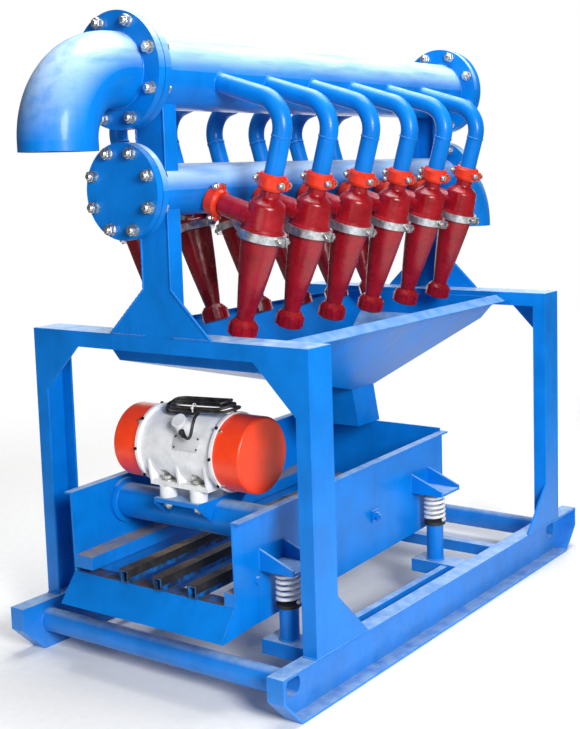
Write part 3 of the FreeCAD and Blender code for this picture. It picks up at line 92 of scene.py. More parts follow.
# Bolts of the couplings and band clamps: place beside the pipe or cone, and grip
COUPLING_BOLT = (0.0500, 0.014, 0)
COUPLING_GRIP = 0.028
CLAMP_BOLT = (0.0862, 0.013, -0.165)
CLAMP_GRIP = 0.026

# Skid: the runners' top, the cross pipes, the spring pedestals and the portals
RUNNER_TOP = 0.160
RUNNER_WEB_X = 0.502
CROSS_PIPE_Y = (-0.868, 0.847)
CROSS_PIPE_Z = 0.094
CROSS_PIPE_R = 0.038
PEDESTAL_R = 0.030
PORTAL_FACE = 0.818
PORTAL_TOP = 1.064
POST_DEPTH = 0.112
POST_INNER_X = 0.510
POST_OUTER_X = 0.561
FOOT_GUSSET = 0.158
COLUMN_HALF = 0.056
COLUMN_TOP = 1.800
COLUMN_GUSSET_X = 0.206
COLUMN_GUSSET_TOP = 1.209

# Vibration motor, on an axis along X
MOTOR_X = 0.006
MOTOR_Y = -0.665 + MIDDLE_Y
MOTOR_Z = 0.695
BARREL_HALF = 0.158
FOOT_TOP = 0.598
FOOT_GRIP = 0.067
FOOT_BOLT_X = 0.063
FOOT_BOLT_Y = 0.080

# Deck: its side plates, the brackets on the springs and the tube that carries the motor
DECK_WALL_X = 0.335
BRACKET_HALF = 0.063
BRACKET_RISE = 0.066
TUBE_END_X = 0.315
TUBE_Z = 0.479
TUBE_R = 0.0575
MOTOR_GUSSET_X = (-0.086, 0.098)
MOTOR_GUSSET_TIP = 0.118
MOTOR_GUSSET_HEEL = 0.057
MOTOR_GUSSET_TOP = 0.531

# Coil springs: their places along the skid, and the heights of the deck's brackets on them
SPRING_SEATS = ((-0.725, 0.380), (0.140, 0.407))
SPRING_X = 0.393
SPRING_MEAN_R = 0.034
SPRING_WIRE_R = 0.0055

# Route of the cable's free stretch, from the gland to the bundle on top of the motor. The last
# points lead it under the bundle's first turn.
CABLE_ROUTE = (
    (0.040, -0.782, 0.770),
    (0.0694, -0.7949, 0.7516),
    (0.1018, -0.8101, 0.7611),
    (0.1148, -0.8138, 0.7956),
    (0.1073, -0.7933, 0.8225),
    (0.0920, -0.7570, 0.8270),
    (0.0660, -0.7280, 0.8160),
)

# Hexagon bolts, as shares of the thread's diameter
HEX_CORNER = 0.865
HEX_CHAMFER = 0.06
HEAD_HEIGHT = 0.65
NUT_HEIGHT = 0.8
WASHER_HEIGHT = 0.14
WASHER_R = 0.93
THREAD_PITCH = 0.16
THREAD_ROOT = 0.44
THREAD_TIP = 0.40

# ---- Sizes and colours that a user would change ----


def linear(hex_colour):
    """Turns an sRGB hex colour to the linear red, green and blue that shaders take."""
    parts = [int(hex_colour[index:index + 2], 16) / 255 for index in (1, 3, 5)]
    return tuple(part / 12.92 if part <= 0.04045 else ((part + 0.055) / 1.055) ** 2.4
                 for part in parts)


def colour_setting(name, hex_colour, description):
    return FloatVectorProperty(name=name, description=description, subtype="COLOR", size=3,
                               min=0, max=1, default=linear(hex_colour))


def length_setting(name, metres, description):
    return FloatProperty(name=name, description=description, subtype="DISTANCE", unit="LENGTH",
                         min=0, default=metres)


class FinishSettings(bpy.types.PropertyGroup):
    """Colours of the machine's finishes."""
    enamel: colour_setting("Blue enamel", "#0074CE", "Sprayed enamel on the frame, pipes and deck")
    cone: colour_setting("Cone red", "#930B18", "Moulded polyurethane of the cyclones")
    coupling: colour_setting("Coupling orange", "#D62F10", "Paint on the grooved couplings")
    cap: colour_setting("Cap orange", "#F8431A", "Powder coat on the motor's end caps")
    casting: colour_setting("Motor white", "#E6E7E9", "Paint on the motor's casting")
    coil: colour_setting("Spring white", "#E2E2E0", "Powder coat on the coil springs")
    mud: colour_setting("Dried mud", "#A8906F", "Dust on the deck's rubber and sill")


class SizeSettings(bpy.types.PropertyGroup):
    """Sizes of the small pieces that are added to the frame."""
    edge_round: length_setting("Edge rounding", 0.0012, "Rounding of the cut plate edges")
    weld_leg: length_setting("Weld bead", 0.0042, "Radius of the weld beads")
    weld_ripple: length_setting("Weld ripple", 0.009, "Spacing of the ripples in a weld bead")
    cable_width: length_setting("Cable diameter", 0.010, "Outer diameter of the motor cable")
    flange_bolt: length_setting("Flange bolt", 0.020, "Thread size of the flange and motor bolts")
    coupling_bolt: length_setting("Coupling bolt", 0.012, "Thread size of the coupling bolts")
    clamp_bolt: length_setting("Clamp bolt", 0.010, "Thread size of the band clamp bolts")
    hank_turns: IntProperty(name="Hank turns", description="Turns of cable in the bundle",
                            min=1, default=3)


def finishes():
    return bpy.context.scene.desilter_finishes


def sizes():
    return bpy.context.scene.desilter_sizes


# ---- Materials ----

# The Mix node's sockets share their names, so they are asked for by number
COLOUR_MIX = {"data_type": "RGBA"}
MIXED = 2
FACTOR = 0
UNDER = 6
OVER = 7
PRODUCT = {"operation": "MULTIPLY"}


def add(tree, kind, output=None, inputs=(), options=()):
    """Adds a node with its options and each input's value or link, and returns an output."""
    made = tree.nodes.new(kind)
    for name, value in dict(options).items():
        setattr(made, name, value)
    for name, value in dict(inputs).items():
        if isinstance(value, bpy.types.NodeSocket):
            tree.links.new(value, made.inputs[name])
        else:
            made.inputs[name].default_value = value
    return made if output is None else made.outputs[output]


def shade(colour, factor=1.0):
    """A colour made darker or lighter, with the alpha that a node's input takes."""
    if isinstance(colour, str):
        colour = linear(colour)
    return (*(min(1.0, part * factor) for part in colour), 1.0)


def start_material(name):
    """An empty material: its node tree and Object coordinates."""
    material = bpy.data.materials.new(name)
    material.use_nodes = True
    material.node_tree.nodes.clear()
    return material, material.node_tree, add(material.node_tree, "ShaderNodeTexCoord", "Object")


def patches(tree, coords, size, low=0.3, high=0.7, lightest=1.0, detail=3.0):
    """Soft irregular patches about size metres across, from 0 where bare to lightest."""
    cloud = add(tree, "ShaderNodeTexNoise", "Fac",
                {"Vector": coords, "Scale": 1 / size, "Detail": detail, "Roughness": 0.58})
    return add(tree, "ShaderNodeMapRange", "Result",
               {"Value": cloud, "From Min": low, "From Max": high, "To Max": lightest})


def dust_and_highlight_mask(tree, strength, steepest=0.72, flattest=0.99):
    """Mask of up-facing faces, for settled dust and for the painted highlight: 0 on walls and
    strength on faces whose normal points up.
    """
    normal = add(tree, "ShaderNodeNewGeometry", "Normal")
    height = add(tree, "ShaderNodeSeparateXYZ", "Z", {"Vector": normal})
    return add(tree, "ShaderNodeMapRange", "Result",
               {"Value": height, "From Min": steepest, "From Max": flattest, "To Max": strength})


def coat(material, tree, settings, *reliefs):
    """Finishes a material with its shader and reliefs, each a pattern and its depth in metres."""
    normal = {}
    for pattern, depth in reliefs:
        normal = {"Normal": add(tree, "ShaderNodeBump", "Normal",
                                {"Height": pattern, "Distance": depth, **normal})}
    shader = add(tree, "ShaderNodeBsdfPrincipled", "BSDF", {**settings, **normal})
    add(tree, "ShaderNodeOutputMaterial", inputs={"Surface": shader})
    return material


def sprayed_enamel(name, grime, grime_colour, painted_highlight=0.0, soot=0.0):
    """Alkyd enamel sprayed over welded steel plate and pipe: saturated and wet-looking, with an
    orange-peel ripple drawn at 5 mm so that it shows, cloudy film thickness, faint runs down the
    walls, and dust where the steel lies level. The painted highlight is a pale sky-blue painted on
    the up-facing tops of the pipes, in streaks along them, standing in for the bright sky's
    reflection; soot is black drilling mud that has dried on."""
    material, tree, coords = start_material(name)
    base = tuple(finishes().enamel)
    clouds = patches(tree, coords, 0.16, detail=4.0)
    film = add(tree, "ShaderNodeMix", MIXED,
               {FACTOR: clouds, UNDER: shade(base, 0.84), OVER: shade(base, 1.12)}, COLOUR_MIX)
    tall = add(tree, "ShaderNodeMapping", "Vector", {"Vector": coords, "Scale": (1, 1, 0.12)})
    runs = patches(tree, tall, 0.035, 0.52, 0.8, 0.35)
    film = add(tree, "ShaderNodeMix", MIXED,
               {FACTOR: runs, UNDER: film, OVER: shade(base, 0.62)}, COLOUR_MIX)
    # Painted highlight: pale sky-blue streaks on the up-facing tops of the pipes, a painted
    # reflection of the bright sky above
    if painted_highlight:
        lengthways = add(tree, "ShaderNodeMapping", "Vector",
                         {"Vector": coords, "Scale": (1, 0.15, 1)})
        highlight_streaks = add(tree, "ShaderNodeMath", 0, {0: patches(tree, lengthways, 0.04, 0.0, 0.55),
                                                1: dust_and_highlight_mask(tree, painted_highlight, 0.0, 0.7)}, PRODUCT)
        film = add(tree, "ShaderNodeMix", MIXED,
                   {FACTOR: highlight_streaks, UNDER: film, OVER: shade("#D3ECFA")}, COLOUR_MIX)
    if soot:
        film = add(tree, "ShaderNodeMix", MIXED,
                   {FACTOR: patches(tree, coords, 0.03, 0.3, 0.6, soot, 5.0), UNDER: film,
                    OVER: shade("#211C18")}, COLOUR_MIX)
    height = add(tree, "ShaderNodeSeparateXYZ", "Z", {"Vector": coords})
    low = add(tree, "ShaderNodeMapRange", "Result",
              {"Value": height, "From Min": 0.02, "From Max": 0.17, "To Min": 0.12, "To Max": 0.0})
    level = add(tree, "ShaderNodeMath", 0, {0: dust_and_highlight_mask(tree, grime), 1: low},
                {"operation": "MAXIMUM"})
    dust = add(tree, "ShaderNodeMath", 0, {0: patches(tree, coords, 0.045, 0.12, 0.6, detail=5.0),
                                           1: level}, PRODUCT)
    film = add(tree, "ShaderNodeMix", MIXED,
               {FACTOR: dust, UNDER: film, OVER: shade(grime_colour)}, COLOUR_MIX)
    sheen = add(tree, "ShaderNodeMapRange", "Result",
                {"Value": clouds, "To Min": 0.32, "To Max": 0.44})
    dulled = add(tree, "ShaderNodeMath", 0, {0: dust, 1: 0.5, 2: sheen},
                 {"operation": "MULTIPLY_ADD"})
    return coat(material, tree,
                {"Base Color": film, "Roughness": dulled, "IOR": 1.5, "Specular IOR Level": 0.2,
                 "Coat Weight": 0.15, "Coat Roughness": 0.14},
                (patches(tree, coords, 0.005, detail=1.0), 0.00010),
                (patches(tree, coords, 0.07, detail=1.0), 0.0007))


def cast_polyurethane():
    """Cast polyurethane of the cyclones: deep translucent red with a satin skin, flow clouds of
    60 mm, pale scuffs and a mould grain of 1 mm."""
    material, tree, coords = start_material("cast red polyurethane")
    base = tuple(finishes().cone)
    clouds = patches(tree, coords, 0.06, detail=4.0)
    body = add(tree, "ShaderNodeMix", MIXED,
               {FACTOR: clouds, UNDER: shade(base, 0.7), OVER: shade(base, 1.15)}, COLOUR_MIX)
    scuffs = patches(tree, coords, 0.014, 0.64, 0.8, 0.15)
    body = add(tree, "ShaderNodeMix", MIXED,
               {FACTOR: scuffs, UNDER: body, OVER: shade("#C2746E")}, COLOUR_MIX)
    dust = dust_and_highlight_mask(tree, 0.1)
    body = add(tree, "ShaderNodeMix", MIXED,
               {FACTOR: dust, UNDER: body, OVER: shade("#C99B98")}, COLOUR_MIX)
    skin = add(tree, "ShaderNodeMapRange", "Result",
               {"Value": clouds, "To Min": 0.2, "To Max": 0.34})
    return coat(material, tree,
                {"Base Color": body, "Roughness": skin, "IOR": 1.5, "Subsurface Weight": 0.06,
                 "Subsurface Radius": (0.010, 0.002, 0.002), "Subsurface Scale": 0.4},
                (patches(tree, coords, 0.0012, detail=1.0), 0.00006),
                (patches(tree, coords, 0.024, detail=1.0), 0.0005))


def satin_metal(name, dark, light, streak):
    """Bare or plated steel: bright satin metal with soft smears and a fine haze."""
    material, tree, coords = start_material(name)
    smears = patches(tree, coords, streak, detail=4.0)
    tone = add(tree, "ShaderNodeMix", MIXED,
               {FACTOR: smears, UNDER: shade(dark), OVER: shade(light)}, COLOUR_MIX)
    satin = add(tree, "ShaderNodeMapRange", "Result",
                {"Value": smears, "To Min": 0.3, "To Max": 0.46})
    return coat(material, tree, {"Base Color": tone, "Roughness": satin, "Metallic": 1.0},
                (patches(tree, coords, 0.002, detail=1.0), 0.00004))


def painted_iron(name, colour, roughness, grain, depth):
    """Iron cast in sand and painted: the paint follows the sand's grain, given in metres, is a
    little uneven in tone and holds dirt in its pits."""
    material, tree, coords = start_material(name)
    clouds = patches(tree, coords, 0.04, detail=4.0)
    body = add(tree, "ShaderNodeMix", MIXED,
               {FACTOR: clouds, UNDER: shade(colour, 0.84), OVER: shade(colour, 1.08)}, COLOUR_MIX)
    dirt = patches(tree, coords, 0.013, 0.6, 0.8, 0.4, 5.0)
    body = add(tree, "ShaderNodeMix", MIXED,
               {FACTOR: dirt, UNDER: body, OVER: shade(colour, 0.3)}, COLOUR_MIX)
    sheen = add(tree, "ShaderNodeMapRange", "Result", {"Value": clouds, "To Min": roughness - 0.05,
                                                       "To Max": roughness + 0.09})
    return coat(material, tree, {"Base Color": body, "Roughness": sheen, "IOR": 1.5},
                (patches(tree, coords, grain, detail=2.0), depth))


def powder_coat(name, colour, roughness):
    """Polyester powder baked on steel: an even colour with a faint ripple of 3 mm and soft rubs."""
    material, tree, coords = start_material(name)
    clouds = patches(tree, coords, 0.07)
    body = add(tree, "ShaderNodeMix", MIXED,
               {FACTOR: clouds, UNDER: shade(colour, 0.86), OVER: shade(colour, 1.06)}, COLOUR_MIX)
    rubs = patches(tree, coords, 0.02, 0.62, 0.8, 0.1)
    body = add(tree, "ShaderNodeMix", MIXED,
               {FACTOR: rubs, UNDER: body, OVER: shade(colour, 0.45)}, COLOUR_MIX)
    sheen = add(tree, "ShaderNodeMapRange", "Result", {"Value": clouds, "To Min": roughness - 0.04,
                                                       "To Max": roughness + 0.06})
    return coat(material, tree, {"Base Color": body, "Roughness": sheen, "IOR": 1.5},
                (patches(tree, coords, 0.003, detail=1.0), 0.00005))


def rubber(name, dust):
    """Vulcanised black rubber: matt, with a grey bloom in patches, and dried mud on its level
    faces, thicker towards the motor than at the lip."""
    material, tree, coords = start_material(name)
    bloom = patches(tree, coords, 0.03, 0.4, 0.8)
    body = add(tree, "ShaderNodeMix", MIXED,
               {FACTOR: bloom, UNDER: shade("#121314"), OVER: shade("#2E2F30")}, COLOUR_MIX)
    along = add(tree, "ShaderNodeSeparateXYZ", "Y", {"Vector": coords})
    inward = add(tree, "ShaderNodeMapRange", "Result",
                 {"Value": along, "From Min": -0.80, "From Max": -0.62, "To Min": 0.15})
    cover = add(tree, "ShaderNodeMath", 0, {0: inward, 1: dust_and_highlight_mask(tree, dust)}, PRODUCT)
    cover = add(tree, "ShaderNodeMath", 0, {0: cover, 1: patches(tree, coords, 0.05, 0.2, 0.55)},
                PRODUCT)
    body = add(tree, "ShaderNodeMix", MIXED,
               {FACTOR: cover, UNDER: body, OVER: shade(tuple(finishes().mud))}, COLOUR_MIX)
    return coat(material, tree, {"Base Color": body, "Roughness": 0.66, "IOR": 1.52},
                (patches(tree, coords, 0.0016, detail=2.0), 0.0001))


def cable_sheath():
    """Extruded rubber sheath of the motor cable: black with a soft gloss and a dusty film."""
    material, tree, coords = start_material("extruded rubber cable sheath")
    film = patches(tree, coords, 0.02, 0.4, 0.75)
    body = add(tree, "ShaderNodeMix", MIXED,
               {FACTOR: film, UNDER: shade("#141312"), OVER: shade("#4A443E")}, COLOUR_MIX)
    return coat(material, tree, {"Base Color": body, "Roughness": 0.48, "IOR": 1.52},
                (patches(tree, coords, 0.002, detail=2.0), 0.00008))


def moulded_nylon():
    """Injection-moulded nylon strap: milky white, slightly see-through, smooth."""
    material, tree, coords = start_material("moulded natural nylon")
    milk = patches(tree, coords, 0.006)
    body = add(tree, "ShaderNodeMix", MIXED,
               {FACTOR: milk, UNDER: shade("#D9D9D2"), OVER: shade("#EFEFEA")}, COLOUR_MIX)
    return coat(material, tree,
                {"Base Color": body, "Roughness": 0.38, "IOR": 1.53, "Subsurface Weight": 0.2,
                 "Subsurface Radius": (0.002, 0.002, 0.002), "Subsurface Scale": 0.5},
                (milk, 0.00004))


MAKERS = {
    "blue_paint": lambda: sprayed_enamel("sprayed blue enamel on welded steel", 0.75, "#A9C6DC"),
    # Headers and elbows: blue enamel with a painted sky highlight on their up-facing tops
    "sky_highlight_paint": lambda: sprayed_enamel("blue enamel on steel pipe with painted sky highlight", 0.2,
                                            "#A9C6DC", painted_highlight=0.66),
    "dusty_paint": lambda: sprayed_enamel("blue enamel under tan dust", 0.9, "#A39478"),
    "muddy_paint": lambda: sprayed_enamel("blue enamel under dried mud", 1.0, "#4C4238"),
    "sooty_paint": lambda: sprayed_enamel("blue enamel under black mud", 1.0, "#4C4238", soot=0.9),
    "red_polyurethane": cast_polyurethane,
    "silver_clamp": lambda: satin_metal("pressed stainless strip", "#B9BBBE", "#F2F3F4", 0.016),
    "orange_coupling": lambda: painted_iron("orange paint on ductile iron",
                                            tuple(finishes().coupling), 0.3, 0.005, 0.00025),
    "white_spring": lambda: powder_coat("white powder coat on spring steel",
                                        tuple(finishes().coil), 0.34),
    "black_rubber": lambda: rubber("vulcanised black rubber", 0.0),
    "dusty_rubber": lambda: rubber("black rubber channel with dried mud", 1.0),
    "zinc_steel": lambda: satin_metal("zinc-plated steel", "#B4B4AE", "#F0EFEA", 0.006),
    "dark_steel": lambda: satin_metal("black-oxide steel", "#1B1B1C", "#3A3A3A", 0.005),
    "white_casting": lambda: painted_iron("off-white paint on cast iron",
                                          tuple(finishes().casting), 0.36, 0.004, 0.0002),
    "orange_cap": lambda: powder_coat("orange powder coat on pressed steel",
                                      tuple(finishes().cap), 0.34),
    "black_cable": cable_sheath,
    "white_plastic": moulded_nylon,
    "blank_plate": lambda: powder_coat("clear lacquer on aluminium plate", "#C9CBCD", 0.34),
}
# Parts that wear or gather dirt, and the headers and elbows whose tops carry a painted highlight,
# # and so don't look like the rest of their slot
WORN = {
    "overflow_header": "sky_highlight_paint", "overflow_elbow": "sky_highlight_paint",
    "feed_header": "sky_highlight_paint", "feed_elbow": "sky_highlight_paint",
    "discharge_lip": "muddy_paint", "deck_side_rails": "dusty_paint",
    "screen_support_bars": "sooty_paint", "bar_rubber_caps": "dusty_rubber",
}
made_materials = {}


def material_for(finish):
    """The one material of a finish, made when it is first asked for."""
    if finish not in made_materials:
        made_materials[finish] = MAKERS[finish]()
    return made_materials[finish]


# ---- Shapes ----


def lathe(outline, steps=20):
    """Spins an outline of (radius, height) corners round Z to a closed shape."""
    turned = bmesh.new()
    corners = [turned.verts.new((radius, 0, height)) for radius, height in outline]
    edges = [turned.edges.new(pair) for pair in zip(corners, corners[1:])]
    bmesh.ops.spin(turned, geom=corners + edges, axis=(0, 0, 1), cent=(0, 0, 0), steps=steps,
                   angle=2 * math.pi, use_merge=True)
    bmesh.ops.remove_doubles(turned, verts=turned.verts, dist=1e-6)
    bmesh.ops.recalc_face_normals(turned, faces=turned.faces)
    return turned


def hexagon_bar(radius, low, high, chamfer):
    """Hexagon bar stock along Z with its rims chamfered."""
    stock = bmesh.new()
    bmesh.ops.create_cone(stock, cap_ends=True, segments=6, radius1=radius, radius2=radius,
                          depth=high - low, matrix=Matrix.Translation((0, 0, (low + high) / 2)))
    rims = [edge for edge in stock.edges if abs(edge.verts[0].co.z - edge.verts[1].co.z) < 1e-7]
    bmesh.ops.bevel(stock, geom=rims, offset=chamfer, affect="EDGES", segments=1,
                    profile=0.5, material=-1)
    return stock


def put(target, source, place):
    """Adds a copy of one shape to another, at a place."""
    copy = bpy.data.meshes.new("copy")
    source.to_mesh(copy)
    before = len(target.verts)
    target.from_mesh(copy)
    target.verts.ensure_lookup_table()
    bmesh.ops.transform(target, matrix=place, verts=target.verts[before:])
    bpy.data.meshes.remove(copy)


def show(name, shape, body, finish):
    """Makes an object of a shape with its finish, and sets it on a body.
    """
    mesh = bpy.data.meshes.new(name)
    shape.to_mesh(mesh)
    shape.free()
    mesh.shade_smooth()
    mesh.set_sharp_from_angle(angle=math.radians(32))
    mesh.materials.append(material_for(finish))
    thing = bpy.data.objects.new(name, mesh)
    bpy.context.scene.collection.objects.link(thing)
    if body:
        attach(thing, body)
    return thing


def hex_bolt(size, grip):
    """Bolt along Z for a grip that starts at 0: head and washer below it, washer, nut and the
    threaded end above it."""
    bolt = bmesh.new()
    corner = HEX_CORNER * size
    washer = WASHER_HEIGHT * size
    top = grip + washer + NUT_HEIGHT * size
    head = hexagon_bar(corner, -washer - HEAD_HEIGHT * size, -washer, HEX_CHAMFER * size)
    nut = hexagon_bar(corner, grip + washer, top, HEX_CHAMFER * size)
    pitch = THREAD_PITCH * size
    crest = 0.5 * size
    thread = [(0, top - pitch)]
    for ridge in range(3):
        thread.append((crest, top + (ridge - 0.5) * pitch))
        thread.append((THREAD_ROOT * size, top + ridge * pitch))
    thread += [(THREAD_TIP * size, top + 2.4 * pitch), (0, top + 2.4 * pitch)]
    stack = [head, nut, lathe(thread, 14)]
    rim = WASHER_R * size
    for low in (-washer, grip):
        stack.append(lathe([(crest, low), (rim, low), (rim, low + washer), (crest, low + washer),
                            (crest, low)], 18))
    for item in stack:
        put(bolt, item, Matrix.Identity(4))
        item.free()
    return bolt


def turn(axis, degrees):
    return Matrix.Rotation(math.radians(degrees), 4, axis)


def cyclone_places():
    """Place of each cyclone: Z up its own axis, its inlet toward -X, from its overflow coupling."""
    for side, half_turn in ((1, 0), (-1, 180)):
        for index in range(6):
            spot = (side * ROW_X, ROW_START + PITCH * index, ROW_Z)
            yield Matrix.Translation(spot) @ turn("Z", half_turn) @ Matrix.Rotation(TILT, 4, "Y")


def joint_bolts(count, circle, z, start, grip):
    """Places of a flange joint's bolts, nuts toward the front."""
    for index in range(count):
        angle = math.radians(180 / count + index * 360 / count)
        spot = (circle * math.sin(angle), start + grip, z + circle * math.cos(angle))
        yield Matrix.Translation(spot) @ turn("X", 90) @ turn("Z", 17 * index)


# ---- Operators ----


class StageOperator(bpy.types.Operator):
    """Makes the floor, the soft studio light and the camera"""
    bl_idname = "desilter.stage"
    bl_label = "Stage"

    # Where the photographer's camera was: metres, and degrees
    camera_spot = (2.55192, -3.50765 + MIDDLE_Y, 1.57236)
    heading, dip, roll = 34.46, 6.84, -1.47
    # Each lamp's name, place and diameter in metres, and power in watts
    lamps = (("key", (4.7, -3.2, 2.7), 1.8, 370),
             ("fill", (0.9, -5.2, 1.0), 2.2, 26),
             ("overhead", (0.2, 0.4, 4.6), 3.2, 230),
             ("back", (-3.0, 4.2, 1.5), 5.0, 130))

    def execute(self, context):
        scene = context.scene
        lens = bpy.data.cameras.new("camera")
        lens.sensor_width = 36
        lens.lens = 60.06
        lens.shift_x = -0.0823
        lens.shift_y = -0.0748
        lens.clip_end = 100
        camera = bpy.data.objects.new("camera", lens)
        camera.matrix_world = (Matrix.Translation(self.camera_spot) @ turn("Z", self.heading)
                               @ turn("X", 90 - self.dip) @ turn("Z", self.roll))
        scene.collection.objects.link(camera)
        scene.camera = camera
        paper = bmesh.new()
        bmesh.ops.create_grid(paper, x_segments=1, y_segments=1, size=9)
        mesh = bpy.data.meshes.new("floor")
        paper.to_mesh(mesh)
        paper.free()
        mesh.materials.append(self.studio_paper())
        floor = bpy.data.objects.new("floor", mesh)
        scene.collection.objects.link(floor)
        for lamp in self.lamps:
            self.add_light(scene, *lamp)
        world = bpy.data.worlds.new("studio")
        world.use_nodes = True
        tree = world.node_tree
        tree.nodes.clear()
        backdrop = add(tree, "ShaderNodeBackground", 0, {"Color": (1, 1, 1, 1), "Strength": 1.0})
        room = add(tree, "ShaderNodeBackground", 0,
                   {"Color": (0.96, 0.98, 1.0, 1), "Strength": 0.12})
        seen = add(tree, "ShaderNodeLightPath", "Is Camera Ray")
        both = add(tree, "ShaderNodeMixShader", 0, {0: seen, 1: room, 2: backdrop})
        add(tree, "ShaderNodeOutputWorld", inputs={"Surface": both})
        scene.world = world
        scene.view_settings.view_transform = "Standard"
        return {"FINISHED"}

    def studio_paper(self):
        """Pale seamless paper that runs out into the white room behind it."""
        material, tree, coords = start_material("pale studio paper")
        fibre = patches(tree, coords, 0.03)
        tone = add(tree, "ShaderNodeMix", MIXED,
                   {FACTOR: fibre, UNDER: shade("#F0F0EE"), OVER: shade("#F5F5F3")}, COLOUR_MIX)
        paper = add(tree, "ShaderNodeBsdfPrincipled", 0,
                    {"Base Color": tone, "Roughness": 0.9, "Specular IOR Level": 0.15})
        away = add(tree, "ShaderNodeVectorMath", "Value", {0: coords}, {"operation": "LENGTH"})
        fade = add(tree, "ShaderNodeMapRange", "Result",
                   {"Value": away, "From Min": 1.4, "From Max": 4.2},
                   {"interpolation_type": "SMOOTHSTEP"})
        both = add(tree, "ShaderNodeMixShader", 0,
                   {0: fade, 1: paper, 2: add(tree, "ShaderNodeBsdfTransparent", 0)})
        add(tree, "ShaderNodeOutputMaterial", inputs={"Surface": both})
        return material

    def add_light(self, scene, name, spot, size, watts):
        """A round soft light that looks at the middle of the machine."""
        lamp = bpy.data.lights.new(name, "AREA")
        lamp.shape = "DISK"
        lamp.size = size
        lamp.energy = watts
        light = bpy.data.objects.new(name, lamp)
        aim = (Vector((0, 0, MACHINE_MIDDLE)) - Vector(spot)).to_track_quat("-Z", "Y")
        light.matrix_world = Matrix.Translation(spot) @ aim.to_matrix().to_4x4()
        light.visible_camera = False
        scene.collection.objects.link(light)


